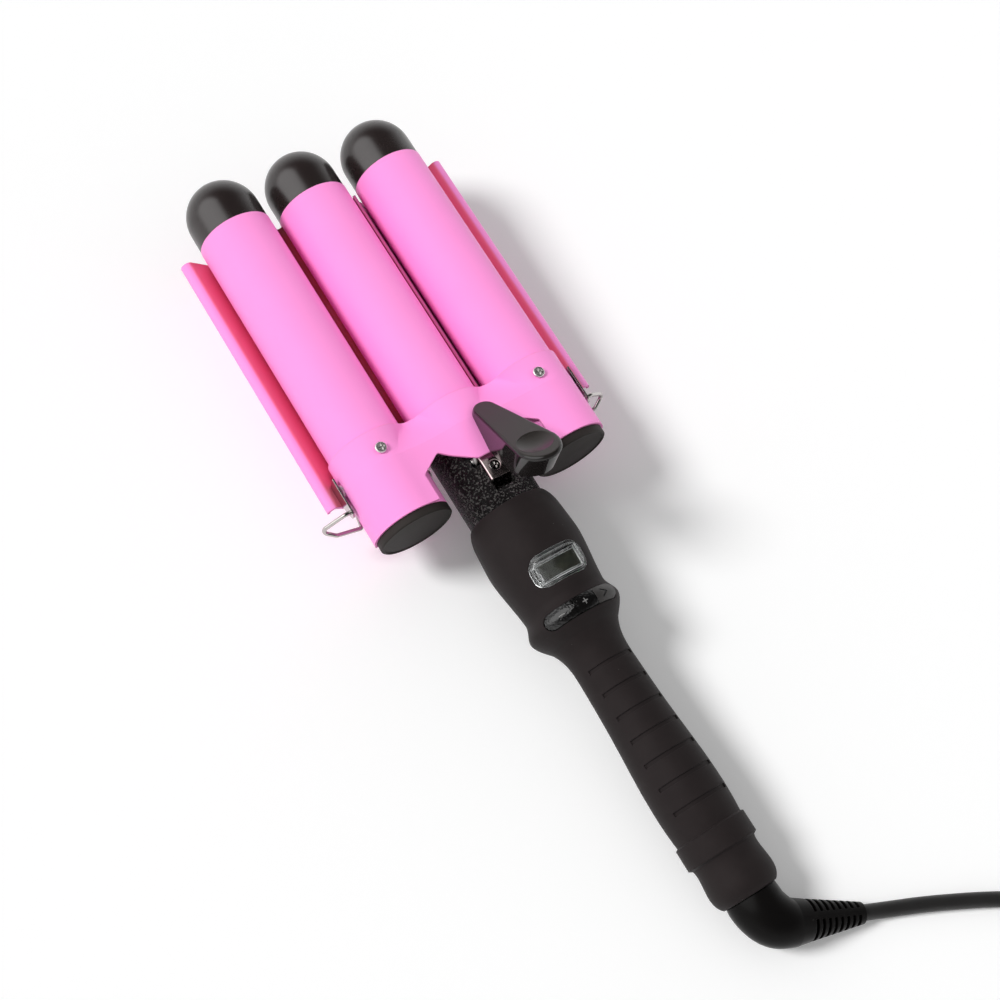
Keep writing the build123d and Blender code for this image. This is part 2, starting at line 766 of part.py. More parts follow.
# ---------------------------------------------------------------- display, board and buttons
with BuildPart() as display_lens:
    with BuildSketch(Plane.XY.offset(lens_floor)):
        with Locations((0, lens_y)):
            RectangleRounded(lens_length, lens_width, 4.9)
    extrude(amount=20)
    add(grip_form(0.2), mode=Mode.INTERSECT)
    with BuildPart(mode=Mode.PRIVATE) as lens_crown:
        with BuildSketch(Plane.XY.offset(lens_floor)):
            with Locations((0, lens_y)):
                RectangleRounded(lens_length - 3, lens_width - 3, 3.4)
        extrude(amount=20)
        add(grip_form(1.2), mode=Mode.INTERSECT)
    add(lens_crown.part)
    with BuildPart(mode=Mode.PRIVATE) as window_groove:
        with BuildSketch(Plane.XY.offset(lens_floor)):
            with Locations((0, lens_y)):
                Rectangle(window_length + 2 * window_line, window_width + 2 * window_line)
                Rectangle(window_length, window_width, mode=Mode.SUBTRACT)
        extrude(amount=20)
        add(grip_form(0.7), mode=Mode.SUBTRACT)
    add(window_groove.part, mode=Mode.SUBTRACT)
    with Locations((0, lens_y, lens_floor + window_pocket / 2)):
        Box(window_length - 0.8, window_width - 0.8, window_pocket, mode=Mode.SUBTRACT)
keep(display_lens, "display_lens")

with BuildPart() as display_panel:
    with Locations((0, lens_y, (board_top + lens_floor - fit) / 2)):
        Box(19.4, 9.6, lens_floor - fit - board_top)
keep(display_panel, "display_panel")

with BuildPart() as circuit_board:
    with Locations((0, (-63.4 - 34.5) / 2, board_top - board_thick / 2)):
        Box(24.0, 63.4 - 34.5, board_thick)
    for x in (-post_x, post_x):
        post(1.1, 0, 10, x, post_y, Mode.SUBTRACT)
keep(circuit_board, "circuit_board")

with BuildPart() as board_screws:
    for x in (-post_x, post_x):
        under = board_top - board_thick
        post(1.0, under - 0.1, board_top + 3.8, x, post_y)
        post(1.9, under - 1.2, under, x, post_y)
keep(board_screws, "board_screws")

button_low = strip_floor + 1.0
button_edges = (strip_x - strip_length, -4.8, 4.8, strip_x + strip_length)
switch_places = (-9.0, 0.0, 9.0)

with BuildPart() as key_switches:
    for x in switch_places:
        with Locations((x, strip_y, (board_top + button_low - 1.1) / 2)):
            Box(4.6, 4.6, button_low - 1.1 - board_top)
        post(1.2, board_top, button_low - button_travel - 0.05, x, strip_y)
keep(key_switches, "key_switches")

mark_line = 0.55
mark_depth = 0.2
key_rise = 0.45
key_marks = (
    ((-10.4, 2.6, 0),),
    ((-0.2, 2.6, 0), (-0.2, 2.6, 90)),
    ((9.2, 3.0, 32), (9.2, 3.0, -32)),
)

for index, name in enumerate(("left_button", "middle_button", "right_button")):
    with BuildPart() as button:
        start = button_edges[index] + button_gap / 2
        end = button_edges[index + 1] - button_gap / 2
        with BuildSketch(Plane.XY.offset(button_low)):
            with Locations((strip_x, strip_y)):
                SlotOverall(strip_length - 2 * button_gap, strip_width - 2 * button_gap)
            with Locations(((start + end) / 2, strip_y)):
                Rectangle(end - start, 2 * strip_width, mode=Mode.INTERSECT)
        extrude(amount=20)
        add(grip_form(key_rise), mode=Mode.INTERSECT)
        with BuildPart(mode=Mode.PRIVATE) as mark:
            with BuildSketch(Plane.XY.offset(button_low)):
                for x, length, turn in key_marks[index]:
                    lift_y = 0.42 * length * sin(radians(turn)) if 0 < abs(turn) < 90 else 0
                    with Locations((x, strip_y - lift_y)):
                        Rectangle(length, mark_line, rotation=turn)
            extrude(amount=20)
            add(grip_form(key_rise - mark_depth), mode=Mode.SUBTRACT)
        add(mark.part, mode=Mode.SUBTRACT)
    keep(button, name)

# ---------------------------------------------------------------- leads inside the handle
lead_radius = 0.9


def lead(points, bend):
    """Insulated wire along a filleted line."""
    with BuildLine() as lead_line:
        FilletPolyline(*points, radius=bend)
    with BuildSketch(Plane(lead_line.line @ 0, z_dir=lead_line.line % 0)) as section:
        Circle(lead_radius)
    sweep(section.sketch, path=lead_line.wire())


with BuildPart() as supply_leads:
    for side in (-1, 1):
        lead(
            [
                (side * 1.6, -165.5, centre_z),
                (side * 1.6, -150, centre_z),
                (side * 6.0, -134, centre_z),
                (side * 6.0, -56, centre_z),
                (side * 6.0, -56, board_top - board_thick),
            ],
            2.5,
        )
keep(supply_leads, "supply_leads")

with BuildPart() as heater_leads:
    for side in (-1, 1):
        lead(
            [
                (side * 5.6, -42, board_top - board_thick),
                (side * 5.6, -42, centre_z),
                (side * 5.6, heater_rear, centre_z),
            ],
            2.5,
        )
keep(heater_leads, "heater_leads")

# ---------------------------------------------------------------- swivel boot of the lead
boot_start = handle_end - 2 * fit
boot_straight = 3.0
bend_centre = (boot_bend, boot_start - boot_straight)
rib_count = 8
rib_pitch = 2.9
rib_width = 1.5


def boot_place(distance):
    """Point and heading of the boot's centre line at a distance from the handle."""
    arc_length = boot_bend * radians(boot_turn)
    turned = min(max(distance - boot_straight, 0) / boot_bend, radians(boot_turn))
    beyond = max(distance - boot_straight - arc_length, 0)
    before = min(distance - boot_straight, 0)
    heading = (sin(turned), -cos(turned))
    x = bend_centre[0] - boot_bend * cos(turned) + beyond * heading[0]
    y = bend_centre[1] - boot_bend * sin(turned) + beyond * heading[1] - before
    return (x, y, 0), (heading[0], heading[1], 0)


arc_end = boot_straight + boot_bend * radians(boot_turn)
boot_total = arc_end + boot_length
boot_sections = (
    (0.0, 10.5),
    (boot_straight, 10.7),
    (boot_straight + 6.0, 10.5),
    (boot_straight + 12.0, 9.9),
    (arc_end, 9.0),
)
boot_shoulder = 6.0
shoulder_radius = 7.9
tail_radius = 4.2
boot_taper = (shoulder_radius - tail_radius) / (boot_length - boot_shoulder)

with BuildPart() as boot_flat:
    for distance, radius in boot_sections:
        point, heading = boot_place(distance)
        with BuildSketch(Plane(point, x_dir=(0, 0, 1), z_dir=heading)):
            Circle(radius)
    loft()
    point, heading = boot_place(arc_end)
    tail_plane = Plane(point, x_dir=(0, 0, 1), z_dir=heading)
    with Locations(tail_plane.offset(boot_shoulder / 2)):
        Cone(boot_sections[-1][1], shoulder_radius, boot_shoulder)
    with Locations(tail_plane.offset((boot_shoulder + boot_length) / 2)):
        Cone(shoulder_radius, tail_radius, boot_length - boot_shoulder)
    for index in range(rib_count):
        distance = boot_total - 3.2 - rib_pitch * index
        point, heading = boot_place(distance)
        radius = tail_radius + (boot_total - distance) * boot_taper
        with BuildSketch(Plane(point, x_dir=(0, 0, 1), z_dir=heading)):
            Circle(12)
            Circle(max(radius - 1.7, cord_radius + 0.4), mode=Mode.SUBTRACT)
            Rectangle(26, 2.6, mode=Mode.SUBTRACT)
        extrude(amount=rib_width / 2, both=True, mode=Mode.SUBTRACT)
    rod(6.3 - pivot_fit, boot_start, -169.7, 0, 0)
    rod(8.4 - run, -169.7, -166 - run, 0, 0)

boot_frame = Location((0, 0, centre_z), (0, boot_roll, 0))
with BuildPart() as cord_boot:
    add(boot_flat.part.moved(boot_frame))
keep(cord_boot, "cord_boot")

# ---------------------------------------------------------------- stance on the table
rest_y = foot_y - collar_rear
rest_z = (centre_z - collar_radius) - foot_z
tilt = degrees(atan2(rest_z, rest_y) + asin(wire_radius / hypot(rest_y, rest_z)))
turned = Location((0, 0, 0), (tilt, 0, 0))
tool = Compound(children=[piece.moved(turned) for piece in pieces if piece.label != "cord_boot"])
box = tool.bounding_box()
lift = Location((-box.center().X, -box.center().Y, -box.min.Z))
stance = lift * turned
print("tilt", round(tilt, 3), "shift", [round(v, 3) for v in lift.position])
print("size", [round(v, 2) for v in box.size])

for piece in pieces:
    placed = piece.moved(stance)
    placed.label = piece.label
    export_step(placed, f"parts/{placed.label}.step")

# ---------------------------------------------------------------- mains lead, from here in the table's frame
table_gap = 0.05
cord_z = cord_radius + table_gap
coil_x = 120.77
coil_y = -310.62
coil_middle = 36.0
coil_width = 29.2
coil_height = 12.5
outer_turn = coil_middle + coil_width / 2 - cord_radius
stub = 26.0
entry_angle = 52.0
exit_angle = -75.0
plug_thick = 14.0
plug_width = 24.0
plug_length = 28.0
plug_relief = 24.0
pin_length = 17.0
pin_spacing = 12.7

end_point, end_heading = boot_place(boot_total)
exit_place = stance * boot_frame * Location(end_point)
exit_ahead = stance * boot_frame * Location(Vector(*end_point) + Vector(*end_heading))
cord_heading = exit_ahead.position - exit_place.position
cord_exit = exit_place.position + cord_heading * 0.02


def coil_line(angle, ahead, height):
    """Point on the line that touches the outer turn at an angle, a distance past the touch."""
    turn = radians(angle)
    x = coil_x + outer_turn * cos(turn) + ahead * sin(turn)
    y = coil_y + outer_turn * sin(turn) - ahead * cos(turn)
    return Vector(x, y, height)


def coil_heading(angle):
    """Direction of the lead where it touches the outer turn, wound clockwise from above."""
    return (sin(radians(angle)), -cos(radians(angle)), 0)


def corner_radii(points):
    """Largest even arcs for the corners of a route, 0.45 of the shorter run each way."""
    radii = []
    for before, here, after in zip(points, points[1:], points[2:]):
        arrive = here - before
        leave = after - here
        half_turn = radians(arrive.get_angle(leave)) / 2
        radii.append(0.45 * min(arrive.length, leave.length) / tan(half_turn))
    return radii


first_run = (cord_exit.Z - cord_z) / -cord_heading.Z
route = [
    cord_exit,
    cord_exit + cord_heading * first_run,
    Vector(63.7, -215.9, cord_z),
    Vector(90.4, -229.5, cord_z),
    coil_line(entry_angle, -stub - 22.0, cord_z),
    coil_line(entry_angle, -stub, cord_z),
]
route_radii = corner_radii(route)

with BuildPart() as cord:
    with BuildLine() as cord_line:
        FilletPolyline(*route, radius=route_radii)
    with BuildSketch(Plane(cord_line.line @ 0, z_dir=cord_line.line % 0)):
        Circle(cord_radius)
    sweep(path=cord_line.wire())
cord.part.label = "cord"
export_step(cord.part, "parts/cord.step")

with BuildPart() as cord_coil:
    coil_centre = (coil_x, coil_y, table_gap + coil_height / 2)
    with BuildSketch(Plane(coil_centre, x_dir=(1, 0, 0), z_dir=(0, -1, 0))):
        with Locations((coil_middle, 0)):
            RectangleRounded(coil_width, coil_height, 5.0)
    revolve(axis=Axis((coil_x, coil_y, 0), (0, 0, 1)))
    with BuildSketch(Plane(route[-1], z_dir=coil_heading(entry_angle))):
        Circle(cord_radius)
    extrude(amount=stub)
    plug_z = plug_thick / 2 + table_gap
    exit_start = coil_line(exit_angle, 0, plug_z)
    with BuildSketch(Plane(exit_start, z_dir=coil_heading(exit_angle))):
        Circle(cord_radius)
    extrude(amount=stub)
cord_coil.part.label = "cord_coil"
export_step(cord_coil.part, "parts/cord_coil.step")

plug_start = coil_line(exit_angle, stub, plug_z)
plug_along = coil_heading(exit_angle)


def plug_plane(ahead):
    """Plane across the plug, a distance past its cord end, with its second axis up."""
    x_dir = Vector(*plug_along).cross(Vector(0, 0, 1)) * -1
    return Plane(plug_start + Vector(*plug_along) * ahead, x_dir=x_dir, z_dir=plug_along)


with BuildPart() as plug_body:
    for ahead, radius in ((0, cord_radius + 0.8), (plug_relief, cord_radius + 2.2)):
        with BuildSketch(plug_plane(ahead)):
            Circle(radius)
    loft()
    for ahead in (4, 9, 14, 19):
        with BuildSketch(plug_plane(ahead)):
            Rectangle(20, 20)
            Rectangle(3, 20, mode=Mode.SUBTRACT)
            Circle(cord_radius + 0.4, mode=Mode.SUBTRACT)
        extrude(amount=1.6, mode=Mode.SUBTRACT)
    with BuildSketch(plug_plane(plug_relief)):
        RectangleRounded(plug_width - 6, plug_thick - 2, 5.0)
    with BuildSketch(plug_plane(plug_relief + 8)):
        RectangleRounded(plug_width, plug_thick, 5.0)
    loft()
    with BuildSketch(plug_plane(plug_relief + 8)):
        RectangleRounded(plug_width, plug_thick, 5.0)
    extrude(amount=plug_length - 8)
    front = plug_body.faces().sort_by(Axis((0, 0, 0), plug_along))[-1]
    chamfer(front.edges(), 0.8)
plug_body.part.label = "plug_body"
export_step(plug_body.part, "parts/plug_body.step")

with BuildPart() as plug_pins:
    for side in (-1, 1):
        with BuildSketch(plug_plane(plug_relief + plug_length)):
            with Locations((side * pin_spacing / 2, 0)):
                Rectangle(1.5, 6.4)
        extrude(amount=pin_length)
    ends = plug_pins.faces().sort_by(Axis((0, 0, 0), plug_along))[-2:]
    chamfer(ends.edges(), 0.4)
plug_pins.part.label = "plug_pins"
export_step(plug_pins.part, "parts/plug_pins.step")

section = pi * cord_radius**2 * cord_line.wire().length
print("cord route", [[round(v, 2) for v in point] for point in route])
print("cord radii", [round(radius, 1) for radius in route_radii])
print("cord length", round(cord_line.wire().length, 1), "volume ratio", round(cord.part.volume / section, 4))
print("coil turns for 1.8 m", round((1800 - cord_line.wire().length - 2 * stub) / (2 * pi * coil_middle), 2))
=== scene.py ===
import json
import math

import bpy
import numpy as np
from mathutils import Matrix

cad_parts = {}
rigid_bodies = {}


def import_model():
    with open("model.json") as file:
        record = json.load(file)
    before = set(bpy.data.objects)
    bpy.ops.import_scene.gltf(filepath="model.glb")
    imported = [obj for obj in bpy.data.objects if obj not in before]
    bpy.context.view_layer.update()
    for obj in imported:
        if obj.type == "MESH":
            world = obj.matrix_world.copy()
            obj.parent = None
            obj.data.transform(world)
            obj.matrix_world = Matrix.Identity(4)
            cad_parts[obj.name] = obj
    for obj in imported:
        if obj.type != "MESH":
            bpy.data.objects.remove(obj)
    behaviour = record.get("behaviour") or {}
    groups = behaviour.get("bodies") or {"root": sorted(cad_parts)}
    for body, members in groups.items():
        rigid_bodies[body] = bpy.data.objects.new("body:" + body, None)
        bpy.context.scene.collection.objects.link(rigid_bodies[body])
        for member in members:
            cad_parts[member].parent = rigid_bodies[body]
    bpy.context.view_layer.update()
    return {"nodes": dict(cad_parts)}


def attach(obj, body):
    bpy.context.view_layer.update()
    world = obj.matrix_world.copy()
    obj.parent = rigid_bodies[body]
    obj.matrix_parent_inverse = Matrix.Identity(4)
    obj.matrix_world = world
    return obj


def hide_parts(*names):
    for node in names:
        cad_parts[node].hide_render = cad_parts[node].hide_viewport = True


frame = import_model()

nodes = frame["nodes"]
for spare in [thing for thing in bpy.data.objects if thing.name in ("Cube", "Light", "Camera")]:
    bpy.data.objects.remove(spare)

# how the tool leans on its stand: a tilt about X in degrees, then a shift in millimetres
stance = {"tilt": 4.306, "shift": (0.0, 3.541, 28.507)}


# small helpers for objects and nodes

def putInScene(thing):
    bpy.context.scene.collection.objects.link(thing)
    return thing


def feedNode(tree, node, feeds):
    # feeds: socket name or number -> another node's socket, or a plain value
    for key, value in feeds.items():
        if isinstance(value, bpy.types.NodeSocket):
            tree.links.new(value, node.inputs[key])
        else:
            node.inputs[key].default_value = value
    return node


def addNode(tree, kind, feeds=None, **settings):
    node = tree.nodes.new(kind)
    for key, value in settings.items():
        setattr(node, key, value)
    return feedNode(tree, node, feeds or {})


def calc(tree, operation, first, second=0.0, third=0.0, clamp=False):
    # one number from one, two or three others
    node = addNode(tree, "ShaderNodeMath", {0: first, 1: second, 2: third}, operation=operation)
    node.use_clamp = clamp
    return node.outputs[0]


# studio: camera, lamps, sky and floor

studio = {
    "cameraPlace": (-0.21246, -0.20259, 0.57466),  # metres
    "cameraTurn": (0.47678, -0.12971, -0.56281),  # radians about X, Y and Z
    "cameraLens": 56.124,  # millimetres, as the film's width
    "cameraFilm": 36.0,
    "cameraNear": 0.01,
    "floorSide": 8.0,
    "floorColour": (0.96, 0.96, 0.96, 1),
    "floorLift": 0.13,  # glow where the floor is seen
    "skyLevel": 0.38,  # light on the tool from all round
    "skyTopSeen": 0.05,  # what shiny pieces see overhead, where 1 is white
    "skyFade": (0.12, 0.60),  # heights between which that room darkens
    "white": (1, 1, 1, 1),
    "lampAway": 1.5,
    "keyFrom": (-0.98, 0.50, 1.0),
    "keySpread": 17.0,  # degrees across
    "keyLevel": 0.53,  # light on a flat sheet, where 1 is white
    "boxEdge": (0.78, 0.88),  # cosines at the soft box's rim and where it is full
    "boxSeen": 2.4,
    "fillFrom": (0.75, -0.35, 0.85),
    "fillSpread": 75.0,
    "fillLevel": 0.23,
}


def makeCamera():
    camera = putInScene(bpy.data.objects.new("studio_camera", bpy.data.cameras.new("studio_camera")))
    camera.location = studio["cameraPlace"]
    camera.rotation_euler = studio["cameraTurn"]
    camera.data.sensor_width = studio["cameraFilm"]
    camera.data.lens = studio["cameraLens"]
    camera.data.clip_start = studio["cameraNear"]
    bpy.context.scene.camera = camera


def wayTo(name):
    # unit arrow from the tool towards a lamp
    way = np.array(studio[name + "From"])
    return way / np.linalg.norm(way)


def makeLamp(name):
    # strength = level * pi / cosine to the vertical, so that a flat sheet gets that level
    way = wayTo(name)
    lamp = bpy.data.lights.new(name + "_lamp", "SUN")
    lamp.angle = math.radians(studio[name + "Spread"])
    lamp.energy = studio[name + "Level"] * math.pi / way[2]
    holder = putInScene(bpy.data.objects.new(name + "_lamp", lamp))
    holder.location = way * studio["lampAway"]
    holder.rotation_euler = (math.acos(way[2]), 0.0, math.atan2(way[1], way[0]) + math.pi / 2)
    holder.visible_glossy = False  # shiny pieces show the soft box of the sky instead
    return holder


def keepOffFloor(holder, pieces):
    # the fill only softens the tool's own shading, and leaves the shadow on the table alone
    lit = bpy.data.collections.new("fill_lights")
    for piece in pieces:
        lit.objects.link(piece)
    holder.light_linking.receiver_collection = lit


def seenMask(tree):
    # 1 for rays from the camera, from shiny surfaces and through glass
    path = addNode(tree, "ShaderNodeLightPath")
    seen = calc(tree, "MAXIMUM", path.outputs["Is Camera Ray"], path.outputs["Is Glossy Ray"])
    return calc(tree, "MAXIMUM", seen, path.outputs["Is Transmission Ray"]), path


def makeSky():
    # an even sky lights the tool, and the camera and glass see plain white in its place; shiny surfaces
    # see a room that darkens with height, and a soft box about the way to the key lamp
    world = bpy.data.worlds.new("studio_sky")
    world.use_nodes = True
    tree = world.node_tree
    tree.nodes.clear()
    seen, path = seenMask(tree)
    way = addNode(tree, "ShaderNodeTexCoord").outputs["Generated"]
    height = addNode(tree, "ShaderNodeSeparateXYZ", {0: way})
    fadeStart, fadeEnd = studio["skyFade"]
    shade = addNode(tree, "ShaderNodeMapRange", {
        "Value": height.outputs["Z"], "From Min": fadeStart, "From Max": fadeEnd,
        "To Min": 1.0, "To Max": studio["skyTopSeen"],
    })
    nearKey = addNode(tree, "ShaderNodeVectorMath", {0: way, 1: tuple(wayTo("key"))}, operation="DOT_PRODUCT")
    boxStart, boxEnd = studio["boxEdge"]
    box = addNode(tree, "ShaderNodeMapRange", {
        "Value": nearKey.outputs["Value"], "From Min": boxStart, "From Max": boxEnd,
        "To Min": 0.0, "To Max": studio["boxSeen"],
    })
    room = calc(tree, "MAXIMUM", shade.outputs["Result"], box.outputs["Result"])
    shown = addNode(tree, "ShaderNodeMix", {0: path.outputs["Is Glossy Ray"], 2: 1.0, 3: room}, data_type="FLOAT")
    light = addNode(tree, "ShaderNodeBackground", {"Color": studio["white"], "Strength": studio["skyLevel"]})
    view = addNode(tree, "ShaderNodeBackground", {"Color": studio["white"], "Strength": shown.outputs[0]})
    both = addNode(tree, "ShaderNodeMixShader", {0: seen, 1: light.outputs[0], 2: view.outputs[0]})
    addNode(tree, "ShaderNodeOutputWorld", {"Surface": both.outputs[0]})
    bpy.context.scene.world = world


def makeFloor():
    # one flat sheet of matt paper; where it is seen, a faint glow lifts it to the white of the sky
    half = studio["floorSide"] / 2
    corners = [(-half, -half, 0), (half, -half, 0), (half, half, 0), (-half, half, 0)]
    mesh = bpy.data.meshes.new("studio_floor")
    mesh.from_pydata(corners, [], [(0, 1, 2, 3)])
    paint = bpy.data.materials.new("floor_paper")
    paint.use_nodes = True
    tree = paint.node_tree
    tree.nodes.clear()
    seen = seenMask(tree)[0]
    paper = addNode(tree, "ShaderNodeBsdfDiffuse", {"Color": studio["floorColour"]})
    lift = calc(tree, "MULTIPLY", seen, studio["floorLift"])
    glow = addNode(tree, "ShaderNodeEmission", {"Color": studio["white"], "Strength": lift})
    both = addNode(tree, "ShaderNodeAddShader", {0: paper.outputs[0], 1: glow.outputs[0]})
    addNode(tree, "ShaderNodeOutputMaterial", {"Surface": both.outputs[0]})
    mesh.materials.append(paint)
    putInScene(bpy.data.objects.new("studio_floor", mesh))


makeCamera()
makeLamp("key")
fillLamp = makeLamp("fill")
makeSky()
makeFloor()
bpy.context.scene.view_settings.view_transform = "Standard"
print("studio ready")


# mains lead: one smooth line from the boot to the plug

lead = {  # metres, and angles in degrees
    "route": [
        (0.03603, -0.20441, 0.00507), (0.04535, -0.20810, 0.00315), (0.06370, -0.21590, 0.00315),
        (0.09040, -0.22950, 0.00315), (0.11219, -0.24364, 0.00315), (0.12953, -0.25718, 0.00315),
    ],
    "coilCentre": (0.12077, -0.31062),
    "innerTurn": 0.02410,  # radius
    "turnPitch": 0.00646,
    "turnEase": 20.0,  # rounds off the change from winding in to winding out
    "lowLayer": 0.00315,
    "layerRise": 0.00635,
    "climbTurn": 150.0,  # the climb from one layer to the other takes this much of a turn
    "entryAngle": 52.0,
    "woundAngle": 2647.0,
    "pointsPerTurn": 24,
    "tail": [(0.12446, -0.35900, 0.00900), (0.11577, -0.36120, 0.00750), (0.10795, -0.36323, 0.00705)],
    "radius": 0.0031,
    "length": 1.8,
    "smoothAlong": 6,
    "smoothRound": 5,
}


def coilTurns():
    # two flat spirals, one on the other: radius = inner turn + pitch * turns away from the middle of
    # the winding, height eases from the low layer to the high one round that middle, clockwise from above
    count = round(lead["woundAngle"] / 360 * lead["pointsPerTurn"])
    wound = np.linspace(0, lead["woundAngle"], count + 1)
    middle = lead["woundAngle"] / 2
    radius = lead["innerTurn"] + lead["turnPitch"] * np.hypot(wound - middle, lead["turnEase"]) / 360
    climb = np.clip((wound - middle) / lead["climbTurn"] + 0.5, 0, 1)
    height = lead["lowLayer"] + lead["layerRise"] * climb**2 * (3 - 2 * climb)
    angle = np.radians(lead["entryAngle"] - wound)
    x = lead["coilCentre"][0] + radius * np.cos(angle)
    y = lead["coilCentre"][1] + radius * np.sin(angle)
    return np.column_stack([x, y, height])


def makeLead():
    # a round tube along one line through the route, the coil and the tail to the plug
    points = np.vstack([lead["route"], coilTurns(), lead["tail"]])
    line = bpy.data.curves.new("mains_lead", "CURVE")
    line.dimensions = "3D"
    spline = line.splines.new("NURBS")
    spline.points.add(len(points) - 1)
    spline.points.foreach_set("co", np.column_stack([points, np.ones(len(points))]).ravel())
    spline.points.foreach_set("radius", np.full(len(points), lead["radius"]))
    spline.order_u = 3
    spline.use_endpoint_u = True
    spline.resolution_u = lead["smoothAlong"]
    line.bevel_depth = 1.0  # times each point's own radius
    line.bevel_resolution = lead["smoothRound"]
    line.use_fill_caps = True
    piece = putInScene(bpy.data.objects.new("mains_lead", line))
    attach(piece, "lead")
    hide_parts("cord", "cord_coil")
    return piece


leadPiece = makeLead()
print("lead laid")


# webs: thin strips that close the lower jaw between the centre barrel and the gutters beside it, painted in the
# deepest pink as the painted shade of those gaps

webs = {  # millimetres along the tool, and the angle in degrees
    "pitch": 36.65, "drop": 1.4, "barrel": 16.0, "sink": 0.2, "gutter": 17.8, "startAngle": -169.0,
    "rear": 25.0, "front": 147.6, "sag": 0.9, "thick": 1.0, "across": 9, "alongSteps": 3,
}


def toTable(points):
    # millimetres along the tool -> metres on the table: turn by the tilt about X, shift, thousandth
    tilt = math.radians(stance["tilt"])
    turned = np.column_stack([
        points[:, 0],
        points[:, 1] * math.cos(tilt) - points[:, 2] * math.sin(tilt),
        points[:, 1] * math.sin(tilt) + points[:, 2] * math.cos(tilt),
    ])
    return (turned + stance["shift"]) / 1000


def makeWeb(name, side):
    # a strip between two lines: from the gutter's inner edge to the nearest line of the centre barrel,
    # hanging below the straight way by sag * 4 * t * (1 - t)
    angle = math.radians(webs["startAngle"])
    start = np.array([webs["pitch"] + webs["gutter"] * math.cos(angle), webs["gutter"] * math.sin(angle)])
    away = start - (0.0, -webs["drop"])
    end = (0.0, -webs["drop"]) + away / np.linalg.norm(away) * (webs["barrel"] - webs["sink"])
    t, y = np.meshgrid(np.linspace(0, 1, webs["across"]),
                       np.linspace(webs["rear"], webs["front"], webs["alongSteps"]))
    t, y = t.ravel(), y.ravel()
    x = start[0] + (end[0] - start[0]) * t
    z = start[1] + (end[1] - start[1]) * t - webs["sag"] * 4 * t * (1 - t)
    rows, columns = np.meshgrid(np.arange(webs["alongSteps"] - 1), np.arange(webs["across"] - 1), indexing="ij")
    corner = (rows * webs["across"] + columns).ravel()
    quads = np.column_stack([corner, corner + 1, corner + webs["across"] + 1, corner + webs["across"]])
    if side > 0:
        quads = quads[:, ::-1]  # the strips mirror each other, so one has its faces turned over
    mesh = bpy.data.meshes.new(name)
    mesh.from_pydata(toTable(np.column_stack([side * x, y, z])).tolist(), [], quads.tolist())
    mesh.shade_smooth()
    piece = putInScene(bpy.data.objects.new(name, mesh))
    wall = piece.modifiers.new("thickness", "SOLIDIFY")
    wall.thickness = webs["thick"] / 1000
    wall.offset = -1.0
    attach(piece, "handle")
    return piece


webPieces = [makeWeb("left_web", -1), makeWeb("right_web", 1)]
keepOffFloor(fillLamp, [*nodes.values(), leadPiece, *webPieces])
print("webs made:", len(webPieces))


# effects that several finishes share, each built once; places and sizes are millimetres along the tool,
# rates are their inverse, edge radii and bump depths are metres

def newGroup(name, takes, gives):
    # takes and gives: socket label -> kind, and a starting value for what it takes
    kinds = {"number": "NodeSocketFloat", "vector": "NodeSocketVector"}
    group = bpy.data.node_groups.new(name, "ShaderNodeTree")
    for label, (kind, start) in takes.items():
        socket = group.interface.new_socket(label, in_out="INPUT", socket_type=kinds[kind])
        if start is not None:
            socket.default_value = start
    for label, kind in gives.items():
        group.interface.new_socket(label, in_out="OUTPUT", socket_type=kinds[kind])
    return group, addNode(group, "NodeGroupInput").outputs, addNode(group, "NodeGroupOutput")


def toolAxesGroup():
    # metres on the table -> millimetres along the tool: shift, turn back by the tilt, times 1000
    group, takes, gives = newGroup("toolAxes", {"Point": ("vector", None)}, {"Place": "vector"})
    shift = tuple(step / 1000 for step in stance["shift"])
    moved = addNode(group, "ShaderNodeVectorMath", {0: takes["Point"], 1: shift}, operation="SUBTRACT")
    turned = addNode(group, "ShaderNodeVectorRotate", {
        "Vector": moved.outputs[0], "Angle": -math.radians(stance["tilt"])}, rotation_type="X_AXIS")
    scaled = addNode(group, "ShaderNodeVectorMath", {0: turned.outputs[0], "Scale": 1000.0}, operation="SCALE")
    feedNode(group, gives, {"Place": scaled.outputs[0]})
    return group


grain = {"detail": 3.0, "roughness": 0.6, "noiseShare": 0.75, "cellShare": 0.55, "toneWider": 28.0,
         "toneDetail": 4.0}


def grainGroup():
    # height of a moulded skin = share of soft noise + share of small cells, both of the given size;
    # tone = a drift many times wider than that
    group, takes, gives = newGroup(
        "mouldedGrain", {"Place": ("vector", None), "Size": ("number", 0.3)},
        {"Height": "number", "Tone": "number"})
    rate = calc(group, "DIVIDE", 1.0, takes["Size"])
    noise = addNode(group, "ShaderNodeTexNoise", {
        "Vector": takes["Place"], "Scale": rate, "Detail": grain["detail"], "Roughness": grain["roughness"]})
    cells = addNode(group, "ShaderNodeTexVoronoi", {"Vector": takes["Place"], "Scale": rate}, feature="SMOOTH_F1")
    cellPart = calc(group, "MULTIPLY", cells.outputs["Distance"], grain["cellShare"])
    height = calc(group, "MULTIPLY_ADD", noise.outputs[0], grain["noiseShare"], cellPart)
    wide = addNode(group, "ShaderNodeTexNoise", {
        "Vector": takes["Place"], "Scale": calc(group, "DIVIDE", rate, grain["toneWider"]),
        "Detail": grain["toneDetail"]})
    feedNode(group, gives, {"Height": height, "Tone": wide.outputs[0]})
    return group


handled = {"broadRate": 0.045, "broadDetail": 5.0, "broadTwist": 0.8, "fineRate": 0.9, "fineDetail": 2.0,
           "fineShare": 0.35, "middle": 0.675, "least": 0.03}


